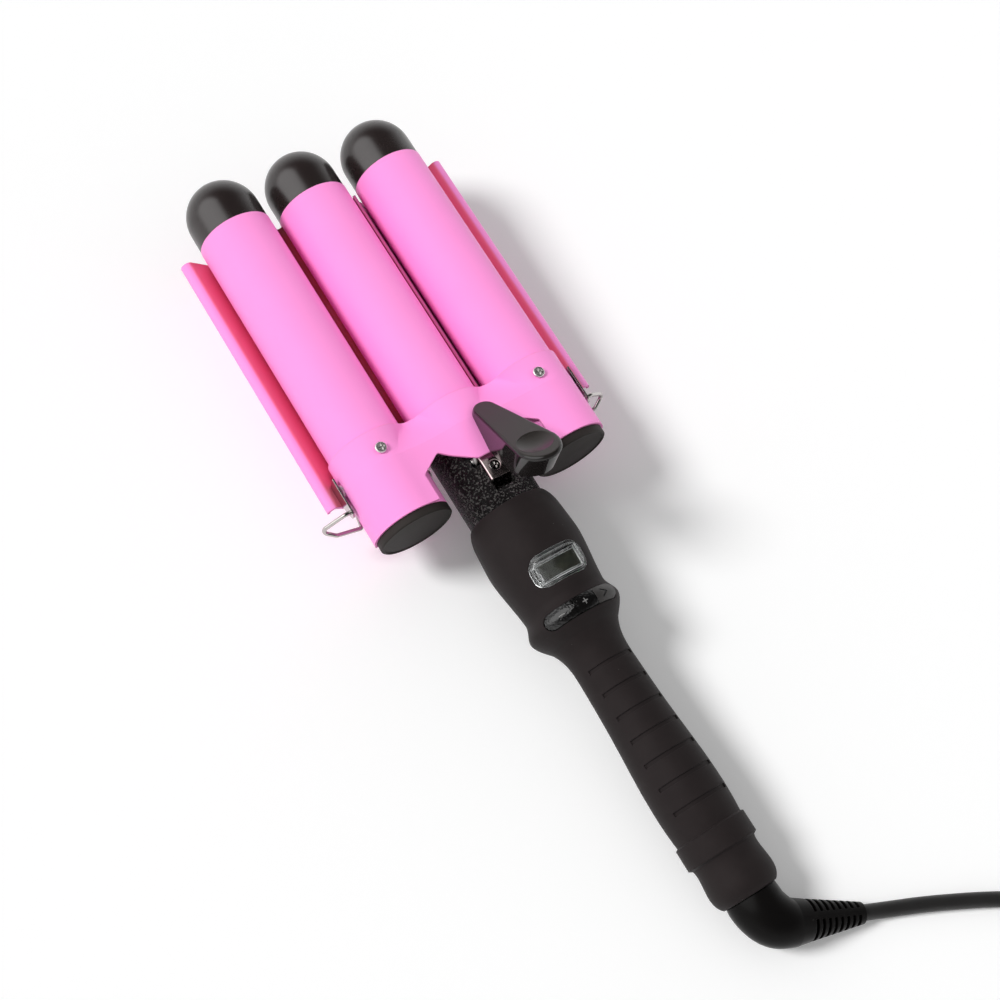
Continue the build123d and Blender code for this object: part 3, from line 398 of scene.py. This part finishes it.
def handledGroup():
    # roughness of a handled surface = base + smear * (broad smears + a share of fine breath - their middle),
    # never below the least
    group, takes, gives = newGroup(
        "handledGloss", {"Place": ("vector", None), "Rough": ("number", 0.3), "Smear": ("number", 0.08)},
        {"Roughness": "number", "Smear": "number"})
    broad = addNode(group, "ShaderNodeTexNoise", {
        "Vector": takes["Place"], "Scale": handled["broadRate"], "Detail": handled["broadDetail"],
        "Distortion": handled["broadTwist"]})
    fine = addNode(group, "ShaderNodeTexNoise", {
        "Vector": takes["Place"], "Scale": handled["fineRate"], "Detail": handled["fineDetail"]})
    mixed = calc(group, "MULTIPLY_ADD", fine.outputs[0], handled["fineShare"], broad.outputs[0])
    centred = calc(group, "SUBTRACT", mixed, handled["middle"])
    rough = calc(group, "MULTIPLY_ADD", centred, takes["Smear"], takes["Rough"])
    feedNode(group, gives, {
        "Roughness": calc(group, "MAXIMUM", rough, handled["least"]), "Smear": broad.outputs[0]})
    return group


dust = {"rarity": 0.72, "tone": (0.25, 0.24, 0.23, 1), "share": 0.35, "rate": 0.30, "size": 0.035}


def dustGroup():
    # rare small specks: the core of a cell, kept where the cell's own random number is above the rarity
    group, takes, gives = newGroup(
        "dustSpecks", {"Place": ("vector", None), "Rate": ("number", 0.35), "Size": ("number", 0.05)},
        {"Mask": "number"})
    cells = addNode(group, "ShaderNodeTexVoronoi", {"Vector": takes["Place"], "Scale": takes["Rate"]})
    core = calc(group, "LESS_THAN", cells.outputs["Distance"], takes["Size"])
    pick = addNode(group, "ShaderNodeSeparateColor", {0: cells.outputs["Color"]})
    chosen = calc(group, "GREATER_THAN", pick.outputs[0], dust["rarity"])
    feedNode(group, gives, {"Mask": calc(group, "MULTIPLY", core, chosen)})
    return group


def edgeGroup():
    # 1 on sharp edges = gain * (1 - cosine between the rounded normal and the true one)
    group, takes, gives = newGroup(
        "edgeCatch", {"Radius": ("number", 0.0004), "Gain": ("number", 3.0)},
        {"Mask": "number", "Normal": "vector"})
    soft = addNode(group, "ShaderNodeBevel", {"Radius": takes["Radius"]}, samples=6)
    plain = addNode(group, "ShaderNodeNewGeometry")
    match = addNode(group, "ShaderNodeVectorMath", {0: soft.outputs[0], 1: plain.outputs["Normal"]},
                    operation="DOT_PRODUCT")
    lean = calc(group, "SUBTRACT", 1.0, match.outputs["Value"])
    feedNode(group, gives, {
        "Mask": calc(group, "MULTIPLY", lean, takes["Gain"], clamp=True), "Normal": soft.outputs[0]})
    return group


def patchGroup():
    # 1 inside an upright box about a centre = least distance to its sides / width of the soft border
    group, takes, gives = newGroup(
        "patch", {"Place": ("vector", None), "Centre": ("vector", (0, 0, 0)), "Half": ("vector", (1, 1, 99)),
                  "Soft": ("number", 0.1)}, {"Mask": "number"})
    moved = addNode(group, "ShaderNodeVectorMath", {0: takes["Place"], 1: takes["Centre"]}, operation="SUBTRACT")
    size = addNode(group, "ShaderNodeVectorMath", {0: moved.outputs[0]}, operation="ABSOLUTE")
    room = addNode(group, "ShaderNodeVectorMath", {0: takes["Half"], 1: size.outputs[0]}, operation="SUBTRACT")
    sides = addNode(group, "ShaderNodeSeparateXYZ", {0: room.outputs[0]})
    least = calc(group, "MINIMUM", calc(group, "MINIMUM", sides.outputs[0], sides.outputs[1]), sides.outputs[2])
    feedNode(group, gives, {"Mask": calc(group, "DIVIDE", least, takes["Soft"], clamp=True)})
    return group


effects = {
    "toolAxes": toolAxesGroup(), "grain": grainGroup(), "handled": handledGroup(), "dust": dustGroup(),
    "edge": edgeGroup(), "patch": patchGroup(),
}
print("effects built:", len(effects))


def useEffect(tree, name, feeds):
    return addNode(tree, "ShaderNodeGroup", feeds, node_tree=effects[name]).outputs


def useGloss(tree, place, facts):
    return useEffect(tree, "handled", {"Place": place, "Rough": facts["rough"], "Smear": facts["smear"]})


def usePatch(tree, place, facts, centre, half):
    return useEffect(tree, "patch", {
        "Place": place, "Centre": centre, "Half": half, "Soft": facts["soft"]})["Mask"]


def startFinish(name, plain):
    # a material with its shader's plain sockets set, and the place on the tool in millimetres
    finish = bpy.data.materials.new(name)
    finish.use_nodes = True
    tree = finish.node_tree
    tree.nodes.clear()
    shader = addNode(tree, "ShaderNodeBsdfPrincipled", plain)
    addNode(tree, "ShaderNodeOutputMaterial", {"Surface": shader.outputs[0]})
    where = addNode(tree, "ShaderNodeTexCoord")
    place = useEffect(tree, "toolAxes", {"Point": where.outputs["Object"]})["Place"]
    return finish, tree, shader, place


def blendColour(tree, factor, first, second):
    return addNode(tree, "ShaderNodeMix", {0: factor, 6: first, 7: second}, data_type="RGBA").outputs[2]


def addBump(tree, shader, height, distance, strength=1.0, normal=None):
    feeds = {"Height": height, "Distance": distance, "Strength": strength}
    if normal is not None:
        feeds["Normal"] = normal
    feedNode(tree, shader, {"Normal": addNode(tree, "ShaderNodeBump", feeds).outputs[0]})


def facingMask(tree, way, fadeFrom, fadeTo):
    # from 0 to 1 as the cosine between the surface and the given way goes from the one value to the other
    where = addNode(tree, "ShaderNodeTexCoord")
    facing = addNode(tree, "ShaderNodeVectorMath", {0: where.outputs["Normal"], 1: way}, operation="DOT_PRODUCT")
    return addNode(tree, "ShaderNodeMapRange", {
        "Value": facing.outputs["Value"], "From Min": fadeFrom, "From Max": fadeTo}).outputs["Result"]


# pink enamel of the barrels, saddle and wings

pink = {
    # painted shade: the rim tone is a warmer red for cut edges, where the enamel turns from the light
    "coat": (0.98, 0.318, 0.715, 1), "drift": (0.97, 0.296, 0.675, 1), "paintedRim": (0.90, 0.30, 0.30, 1),
    # painted shade: the inner tone is the redder shade on the wings' insides, and the deep tone the shade in the
    # gaps beside the centre barrel
    "inner": (0.97, 0.190, 0.310, 1), "gapShade": (0.30, 0.006, 0.025, 1), "gapShadeShare": 0.30,
    "rough": 0.48, "smear": 0.08, "specular": 0.30, "peel": 0.9, "peelDepth": 0.000004,
    "rimRadius": 0.0005, "rimGain": 2.2, "rimShare": 0.7, "shadeFades": (0.80, 0.97),
}


def pinkPaint(name, shadedWay=None):
    # satin enamel: slight orange peel, a tone that drifts a little, and painted shade in a warmer red on cut
    # edges;
    # faces that look along the given way are painted a redder shade, and the way "all" gives the deepest painted
    # shade throughout
    finish, tree, shader, place = startFinish(name, {"Specular IOR Level": pink["specular"]})
    peel = useEffect(tree, "grain", {"Place": place, "Size": pink["peel"]})
    gloss = useGloss(tree, place, pink)
    edge = useEffect(tree, "edge", {"Radius": pink["rimRadius"], "Gain": pink["rimGain"]})
    # painted shade of the gaps: mostly the deepest red, drifting towards the inner shade
    if shadedWay == "all":
        share = calc(tree, "MULTIPLY", peel["Tone"], pink["gapShadeShare"])
        tone = blendColour(tree, share, pink["gapShade"], pink["inner"])
    else:
        tone = blendColour(tree, peel["Tone"], pink["coat"], pink["drift"])
        # painted shade on the faces that look along the given way
        if shadedWay:
            tone = blendColour(tree, facingMask(tree, shadedWay, *pink["shadeFades"]), tone, pink["inner"])
    # painted shade on the cut edges
    paintedRim = calc(tree, "MULTIPLY", edge["Mask"], pink["rimShare"])
    feedNode(tree, shader, {
        "Base Color": blendColour(tree, paintedRim, tone, pink["paintedRim"]), "Roughness": gloss["Roughness"]})
    addBump(tree, shader, peel["Height"], pink["peelDepth"], normal=edge["Normal"])
    return finish


# moulded blacks: handle, tips, rear plugs, boot, lead and the grey key

# the pale edge tone of each black is a painted highlight on its sharp edges
softBlack = {
    "dark": (0.0125, 0.0095, 0.0097, 1), "light": (0.0180, 0.0140, 0.0140, 1), "rough": 0.60, "smear": 0.14,
    "specular": 0.13, "sheen": 0.03, "grain": 0.22, "depth": 0.000012, "edge": 0.35,
    "paintedEdgeHighlight": (0.05, 0.046, 0.045, 1), "edgeRadius": 0.0004,
}
tipBlack = {
    "dark": (0.0125, 0.0082, 0.0080, 1), "light": (0.0190, 0.0132, 0.0128, 1), "rough": 0.26, "smear": 0.10,
    "specular": 0.62, "grain": 0.5, "depth": 0.000004, "edge": 0.3, "paintedEdgeHighlight": (0.04, 0.034, 0.032, 1),
    "edgeRadius": 0.0003,
}
plugBlack = {
    "dark": (0.0200, 0.0165, 0.0150, 1), "light": (0.0290, 0.0245, 0.0225, 1), "rough": 0.60, "smear": 0.16,
    "specular": 0.20, "grain": 0.45, "depth": 0.000022, "edge": 0.45, "paintedEdgeHighlight": (0.07, 0.062, 0.058, 1),
    "edgeRadius": 0.0003,
}
bootBlack = {
    "dark": (0.0032, 0.0028, 0.0028, 1), "light": (0.0052, 0.0047, 0.0045, 1), "rough": 0.30, "smear": 0.10,
    "specular": 0.08, "grain": 0.5, "depth": 0.000004, "edge": 0.2, "paintedEdgeHighlight": (0.03, 0.028, 0.027, 1),
    "edgeRadius": 0.0003,
}
leadRubber = {
    "dark": (0.0115, 0.0110, 0.0110, 1), "light": (0.0170, 0.0162, 0.0160, 1), "rough": 0.42, "smear": 0.16,
    "specular": 0.38, "grain": 0.35, "depth": 0.000010, "edge": 0.0, "paintedEdgeHighlight": (0.03, 0.03, 0.03, 1),
    "edgeRadius": 0.0002,
}
greyKey = {
    "dark": (0.020, 0.018, 0.0175, 1), "light": (0.032, 0.029, 0.028, 1), "rough": 0.34, "smear": 0.12,
    "specular": 0.36, "grain": 0.3, "depth": 0.000008, "edge": 0.8, "paintedEdgeHighlight": (0.16, 0.155, 0.15, 1),
    "edgeRadius": 0.0002,
    # the dark arrow is painted shade in the recessed chevron
    "shadedArrow": {"point": (10.27, -59.2), "lean": 32.0, "half": 0.40, "soft": 0.08, "reach": 2.6,
              "tone": (0.0025, 0.0025, 0.0025, 1)},
}
moulded = {"sheenRough": 0.4, "edgeGain": 2.0}


def chevronMask(tree, place, facts):
    # an arrowhead along X: folded over its middle line, a band about the slanted line through its point
    spot = addNode(tree, "ShaderNodeSeparateXYZ", {0: place}).outputs
    side = calc(tree, "ABSOLUTE", calc(tree, "SUBTRACT", spot[1], facts["point"][1]))
    back = calc(tree, "SUBTRACT", spot[0], facts["point"][0])
    lean = math.radians(facts["lean"])
    sideways = calc(tree, "MULTIPLY", side, math.cos(lean))
    off = calc(tree, "ABSOLUTE", calc(tree, "MULTIPLY_ADD", back, math.sin(lean), sideways))
    band = calc(tree, "DIVIDE", calc(tree, "SUBTRACT", facts["half"], off), facts["soft"], clamp=True)
    return calc(tree, "MULTIPLY", band, calc(tree, "GREATER_THAN", back, -facts["reach"]))


def blackPlastic(name, facts):
    # moulded black: a base tone, a fine skin, smears in the gloss, a few specks, and paler edges that are a
    # painted highlight
    finish, tree, shader, place = startFinish(name, {
        "Specular IOR Level": facts["specular"], "Sheen Weight": facts.get("sheen", 0.0),
        "Sheen Roughness": moulded["sheenRough"],
    })
    skin = useEffect(tree, "grain", {"Place": place, "Size": facts["grain"]})
    gloss = useGloss(tree, place, facts)
    specks = useEffect(tree, "dust", {"Place": place, "Rate": dust["rate"], "Size": dust["size"]})
    edge = useEffect(tree, "edge", {"Radius": facts["edgeRadius"], "Gain": moulded["edgeGain"]})
    tone = blendColour(tree, skin["Tone"], facts["dark"], facts["light"])
    # painted highlight on sharp edges
    paintedLightTone = blendColour(tree, calc(tree, "MULTIPLY", edge["Mask"], facts["edge"]), tone, facts["paintedEdgeHighlight"])
    # painted shade in the grey key's recessed arrow
    if "shadedArrow" in facts:
        shadedArrow = facts["shadedArrow"]
        paintedLightTone = blendColour(tree, chevronMask(tree, place, shadedArrow), paintedLightTone, shadedArrow["tone"])
    dusty = blendColour(tree, calc(tree, "MULTIPLY", specks["Mask"], dust["share"]), paintedLightTone, dust["tone"])
    feedNode(tree, shader, {"Base Color": dusty, "Roughness": gloss["Roughness"]})
    addBump(tree, shader, skin["Height"], facts["depth"], normal=edge["Normal"])
    return finish


# wrinkle enamel of the neck

crinkle = {
    "tone": (0.0040, 0.0033, 0.0033, 1), "crest": (0.40, 0.385, 0.37, 1), "rough": 0.24, "smear": 0.08,
    "size": 0.40, "detail": 2.5, "roughness": 0.55, "twist": 0.9, "sharp": 9.0, "depth": 0.00026,
    "specular": 0.22, "glintRate": 1.1, "glintDetail": 2.0, "glint": (8.0, -4.2), "shine": 0.85,
}


def crinklePaint():
    # raised worms of paint = 1 - sharpness * distance of a twisted noise from its middle; where a coarse noise
    # allows it, their crests are painted pale and partly metallic, a painted glint that the metal also reflects
    # for real
    finish, tree, shader, place = startFinish("crinklePaint", {"Specular IOR Level": crinkle["specular"]})
    worms = addNode(tree, "ShaderNodeTexNoise", {
        "Vector": place, "Scale": 1 / crinkle["size"], "Detail": crinkle["detail"],
        "Roughness": crinkle["roughness"], "Distortion": crinkle["twist"]})
    fold = calc(tree, "ABSOLUTE", calc(tree, "SUBTRACT", worms.outputs[0], 0.5))
    ridge = calc(tree, "SUBTRACT", 1.0, calc(tree, "MULTIPLY", fold, crinkle["sharp"], clamp=True))
    chance = addNode(tree, "ShaderNodeTexNoise", {
        "Vector": place, "Scale": crinkle["glintRate"], "Detail": crinkle["glintDetail"]})
    glint = calc(tree, "MULTIPLY_ADD", chance.outputs[0], *crinkle["glint"], clamp=True)
    # painted glints on the crests
    crest = calc(tree, "MULTIPLY", ridge, glint)
    feedNode(tree, shader, {
        "Base Color": blendColour(tree, crest, crinkle["tone"], crinkle["crest"]),
        "Metallic": calc(tree, "MULTIPLY", crest, crinkle["shine"]),
        "Roughness": useGloss(tree, place, crinkle)["Roughness"]})
    addBump(tree, shader, ridge, crinkle["depth"])
    return finish


# thumb lever

lever = {
    "dark": (0.0100, 0.0088, 0.0085, 1), "light": (0.0160, 0.0140, 0.0135, 1), "top": (0.022, 0.0185, 0.0165, 1),
    "rough": 0.07, "satin": 0.34, "smear": 0.07, "specular": 0.38, "grain": 0.4, "depth": 0.000003,
    "uphill": (0.0, 0.6565, 0.7543), "flatFades": (0.74, 0.93), "topShare": 0.8,
}


def leverPlastic():
    # the thumb face is satin where it looks uphill, and painted lighter there as a painted highlight; its steep
    # rim and sides are polished
    finish, tree, shader, place = startFinish("leverPlastic", {"Specular IOR Level": lever["specular"]})
    flat = facingMask(tree, lever["uphill"], *lever["flatFades"])
    skin = useEffect(tree, "grain", {"Place": place, "Size": lever["grain"]})
    gloss = useGloss(tree, place, lever)["Roughness"]
    tone = blendColour(tree, skin["Tone"], lever["dark"], lever["light"])
    # painted highlight on the faces that look uphill
    paintedTopLight = calc(tree, "MULTIPLY", flat, lever["topShare"])
    feedNode(tree, shader, {
        "Base Color": blendColour(tree, paintedTopLight, tone, lever["top"]),
        "Roughness": calc(tree, "MULTIPLY_ADD", flat, lever["satin"] - lever["rough"], gloss)})
    addBump(tree, shader, skin["Height"], lever["depth"])
    return finish


# the two black keys

keys = {
    "black": (0.0030, 0.0028, 0.0028, 1), "mark": (0.17, 0.168, 0.165, 1), "rough": 0.05, "smear": 0.05,
    "markRough": 0.4, "specular": 0.6, "wave": 0.00020, "waveRate": 1.1, "soft": 0.08,
    "minus": (-10.4, -59.2, 0.0), "plus": (-0.2, -59.2, 0.0), "bar": (1.3, 0.30, 99.0), "post": (0.30, 1.3, 99.0),
}


def glossKeys():
    # polished black caps, a little wavy; their pressed-in minus and plus are filled in pale grey as a painted
    # glint
    finish, tree, shader, place = startFinish("glossKeys", {"Specular IOR Level": keys["specular"]})
    minus = usePatch(tree, place, keys, keys["minus"], keys["bar"])
    plusBar = usePatch(tree, place, keys, keys["plus"], keys["bar"])
    plusPost = usePatch(tree, place, keys, keys["plus"], keys["post"])
    marks = calc(tree, "MAXIMUM", calc(tree, "MAXIMUM", minus, plusBar), plusPost)
    gloss = useGloss(tree, place, keys)["Roughness"]
    wave = addNode(tree, "ShaderNodeTexNoise", {"Vector": place, "Scale": keys["waveRate"], "Detail": 1.0})
    feedNode(tree, shader, {
        # painted glints in the pressed-in marks
        "Base Color": blendColour(tree, marks, keys["black"], keys["mark"]),
        "Roughness": calc(tree, "MULTIPLY_ADD", marks, keys["markRough"], gloss)})
    addBump(tree, shader, wave.outputs[0], keys["wave"])
    return finish


# metals

metals = {
    "chrome": {"tone": (0.60, 0.575, 0.56, 1), "dull": (0.42, 0.395, 0.38, 1), "rough": 0.07, "smear": 0.10,
               "line": 0.00000035, "edge": 0.0003},
    "plate": {"tone": (0.66, 0.56, 0.55, 1), "dull": (0.48, 0.39, 0.385, 1), "rough": 0.25, "smear": 0.12,
              "line": 0.0000006, "edge": 0.0003},
    "steel": {"tone": (0.88, 0.86, 0.84, 1), "dull": (0.68, 0.66, 0.645, 1), "rough": 0.42, "smear": 0.20,
              "line": 0.0000012, "edge": 0.0002},
    "brass": {"tone": (0.72, 0.60, 0.36, 1), "dull": (0.55, 0.44, 0.25, 1), "rough": 0.22, "smear": 0.18,
              "line": 0.0000006, "edge": 0.0002},
}
drawn = {"stretch": (9.0, 0.35, 9.0), "detail": 4.0, "edgeGain": 2.0}


def metal(name, facts):
    # drawn or pressed metal: long fine lines, dull smears, softened edges
    finish, tree, shader, place = startFinish(name, {"Metallic": 1.0})
    along = addNode(tree, "ShaderNodeMapping", {"Vector": place, "Scale": drawn["stretch"]})
    lines = addNode(tree, "ShaderNodeTexNoise", {
        "Vector": along.outputs[0], "Scale": 1.0, "Detail": drawn["detail"]})
    gloss = useGloss(tree, place, facts)
    edge = useEffect(tree, "edge", {"Radius": facts["edge"], "Gain": drawn["edgeGain"]})
    feedNode(tree, shader, {
        "Base Color": blendColour(tree, gloss["Smear"], facts["tone"], facts["dull"]),
        "Roughness": gloss["Roughness"]})
    addBump(tree, shader, lines.outputs[0], facts["line"], normal=edge["Normal"])
    return finish


# display: clear lens over a dark module

lens = {
    "clear": (0.97, 0.98, 0.98, 1), "index": 1.49, "rough": 0.03, "smear": 0.04, "edgeRadius": 0.00022,
    "edgeGain": 2.6, "paintedEdgeGlow": (0.42, 0.43, 0.43, 1), "noGlow": (0, 0, 0, 1), "ripple": 0.00003,
    "rippleRate": 0.35, "rippleDetail": 2.0,
}


def clearLens():
    # clear acrylic with a faint moulding ripple; its edges glow with a painted highlight that stands in for the
    # room's light on the moulding
    finish, tree, shader, place = startFinish("clearLens", {
        "Base Color": lens["clear"], "Transmission Weight": 1.0, "IOR": lens["index"], "Metallic": 0.0,
        "Emission Strength": 1.0,
    })
    edge = useEffect(tree, "edge", {"Radius": lens["edgeRadius"], "Gain": lens["edgeGain"]})
    ripple = addNode(tree, "ShaderNodeTexNoise", {
        "Vector": place, "Scale": lens["rippleRate"], "Detail": lens["rippleDetail"]})
    feedNode(tree, shader, {
        # painted highlight: a glow on the lens edges
        "Emission Color": blendColour(tree, edge["Mask"], lens["noGlow"], lens["paintedEdgeGlow"]),
        "Roughness": useGloss(tree, place, lens)["Roughness"]})
    addBump(tree, shader, ripple.outputs[0], lens["ripple"])
    return finish


display = {
    "centre": (0.0, -41.0, 0.0), "windowHalf": (8.3, 3.8, 99.0), "rimHalf": (8.75, 4.25, 99.0),
    "lineOuter": (9.45, 4.95, 99.0), "lineInner": (9.2, 4.7, 99.0), "lineShare": 0.6, "soft": 0.08,
    "glass": (0.052, 0.055, 0.040, 1), "glassDeep": (0.016, 0.017, 0.012, 1), "frame": (0.008, 0.008, 0.008, 1),
    "paintedRim": (0.55, 0.57, 0.56, 1), "driftRate": 0.22, "driftDetail": 3.0, "driftTwist": 1.5,
    "rough": 0.12, "smear": 0.02, "specular": 0.15,
}


def displayGlass():
    # a dark module with two thin pale lines round its grey-green liquid crystal window, painted highlights of the
    # lens moulding's edges
    finish, tree, shader, place = startFinish("displayGlass", {"Specular IOR Level": display["specular"]})
    window, paintedRim, outer, inner = [usePatch(tree, place, display, display["centre"], display[half])
                                 for half in ("windowHalf", "rimHalf", "lineOuter", "lineInner")]
    drift = addNode(tree, "ShaderNodeTexNoise", {
        "Vector": place, "Scale": display["driftRate"], "Detail": display["driftDetail"],
        "Distortion": display["driftTwist"]})
    crystal = blendColour(tree, drift.outputs[0], display["glassDeep"], display["glass"])
    # painted highlights: the pale rim and the thin line round the window
    line = calc(tree, "MULTIPLY", calc(tree, "SUBTRACT", outer, inner), display["lineShare"])
    border = blendColour(tree, calc(tree, "MAXIMUM", line, paintedRim), display["frame"], display["paintedRim"])
    feedNode(tree, shader, {
        "Base Color": blendColour(tree, window, border, crystal),
        "Roughness": useGloss(tree, place, display)["Roughness"]})
    return finish


# inside pieces

board = {
    "mask": (0.010, 0.090, 0.035, 1), "maskDark": (0.012, 0.075, 0.030, 1), "copper": (0.030, 0.170, 0.060, 1),
    "rate": 0.32, "runWidth": 0.05, "rough": 0.30, "smear": 0.12, "specular": 0.5, "depth": 0.00003,
    "strength": 0.6,
}


def circuitBoard():
    # green solder mask with square-cornered copper runs under it
    finish, tree, shader, place = startFinish("circuitBoard", {"Specular IOR Level": board["specular"]})
    runs = addNode(tree, "ShaderNodeTexBrick", {
        "Vector": place, "Scale": board["rate"], "Mortar Size": board["runWidth"], "Color1": board["mask"],
        "Color2": board["maskDark"], "Mortar": board["copper"]})
    feedNode(tree, shader, {
        "Base Color": runs.outputs[0], "Roughness": useGloss(tree, place, board)["Roughness"]})
    addBump(tree, shader, runs.outputs["Fac"], board["depth"], strength=board["strength"])
    return finish


chalk = {
    "dark": (0.66, 0.63, 0.57, 1), "light": (0.78, 0.76, 0.71, 1), "grain": 0.25, "rough": 0.72, "smear": 0.15,
    "specular": 0.3, "depth": 0.00003,
}


def ceramic():
    # unglazed off-white body with a chalky grain
    finish, tree, shader, place = startFinish("ceramic", {"Specular IOR Level": chalk["specular"]})
    skin = useEffect(tree, "grain", {"Place": place, "Size": chalk["grain"]})
    feedNode(tree, shader, {
        "Base Color": blendColour(tree, skin["Tone"], chalk["dark"], chalk["light"]),
        "Roughness": useGloss(tree, place, chalk)["Roughness"]})
    addBump(tree, shader, skin["Height"], chalk["depth"])
    return finish


braid = {
    "dark": (0.42, 0.36, 0.28, 1), "light": (0.74, 0.70, 0.62, 1), "rate": 1.6, "twist": 0.6, "rough": 0.6,
    "smear": 0.2, "specular": 0.3, "depth": 0.00006,
}


def sleeve():
    # braided glass sleeve: slanting bands of a wavy thread
    finish, tree, shader, place = startFinish("leadSleeve", {"Specular IOR Level": braid["specular"]})
    weave = addNode(tree, "ShaderNodeTexWave", {
        "Vector": place, "Scale": braid["rate"], "Distortion": braid["twist"]}, bands_direction="DIAGONAL")
    feedNode(tree, shader, {
        "Base Color": blendColour(tree, weave.outputs["Fac"], braid["dark"], braid["light"]),
        "Roughness": useGloss(tree, place, braid)["Roughness"]})
    addBump(tree, shader, weave.outputs["Fac"], braid["depth"])
    return finish


# the side of each wing that looks at the barrel above it is painted a redder shade
shadedSides = {"left": (0.7071, -0.0531, 0.7051), "right": (-0.7071, -0.0531, 0.7051)}

finishes = {
    "pink": pinkPaint("pinkPaint"),
    "leftPinkShaded": pinkPaint("pinkPaintLeftShaded", shadedSides["left"]),
    "rightPinkShaded": pinkPaint("pinkPaintRightShaded", shadedSides["right"]),
    "gapShadePink": pinkPaint("pinkPaintGapShade", "all"),
    "plug": blackPlastic("plugPlastic", plugBlack),
    "boot": blackPlastic("bootRubber", bootBlack),
    "soft": blackPlastic("softTouch", softBlack),
    "keys": glossKeys(),
    "tip": blackPlastic("tipPlastic", tipBlack),
    "grey": blackPlastic("greyKey", greyKey),
    "rubber": blackPlastic("leadRubber", leadRubber),
    "crinkle": crinklePaint(),
    "lever": leverPlastic(),
    "chrome": metal("brightMetal", metals["chrome"]),
    "plate": metal("satinPlate", metals["plate"]),
    "steel": metal("plainSteel", metals["steel"]),
    "brass": metal("pinBrass", metals["brass"]),
    "lens": clearLens(),
    "display": displayGlass(),
    "board": circuitBoard(),
    "ceramic": ceramic(),
    "sleeve": sleeve(),
}
print("finishes mixed:", len(finishes))


# what is finished in what

wears = {
    "pink": ["left_barrel", "center_barrel", "right_barrel", "jaw_saddle", "lower_bridge"],
    "leftPinkShaded": ["left_wing"],
    "rightPinkShaded": ["right_wing"],
    "soft": ["grip_upper", "grip_lower"],
    "keys": ["left_button", "middle_button"],
    "boot": ["cord_boot"],
    "tip": ["left_tip", "center_tip", "right_tip"],
    "plug": ["left_plug", "right_plug"],
    "grey": ["right_button"],
    "rubber": ["plug_body"],
    "crinkle": ["neck", "key_switches"],
    "lever": ["thumb_lever"],
    "chrome": ["bracket_screw", "stand_brackets", "wire_stand"],
    "plate": ["hinge_bracket"],
    "steel": ["saddle_screws", "plug_screws", "grip_screws", "bridge_rivets", "hinge_leaf", "hinge_pin",
              "hinge_spring", "lever_screws", "board_screws"],
    "brass": ["plug_pins"],
    "lens": ["display_lens"],
    "display": ["display_panel"],
    "board": ["circuit_board"],
    "ceramic": ["left_heater", "center_heater", "right_heater"],
    "sleeve": ["supply_leads", "heater_leads"],
}

for finishName, members in wears.items():
    for member in members:
        for slot in nodes[member].material_slots:
            slot.link = "OBJECT"
            slot.material = finishes[finishName]
leadPiece.data.materials.append(finishes["rubber"])
# the strips carry the painted shade of the gaps
for webPiece in webPieces:
    webPiece.data.materials.append(finishes["gapShadePink"])
finished = {member for members in wears.values() for member in members}
print("nodes finished:", len(finished), "left out:", sorted(set(nodes) - finished - {"cord", "cord_coil"}))
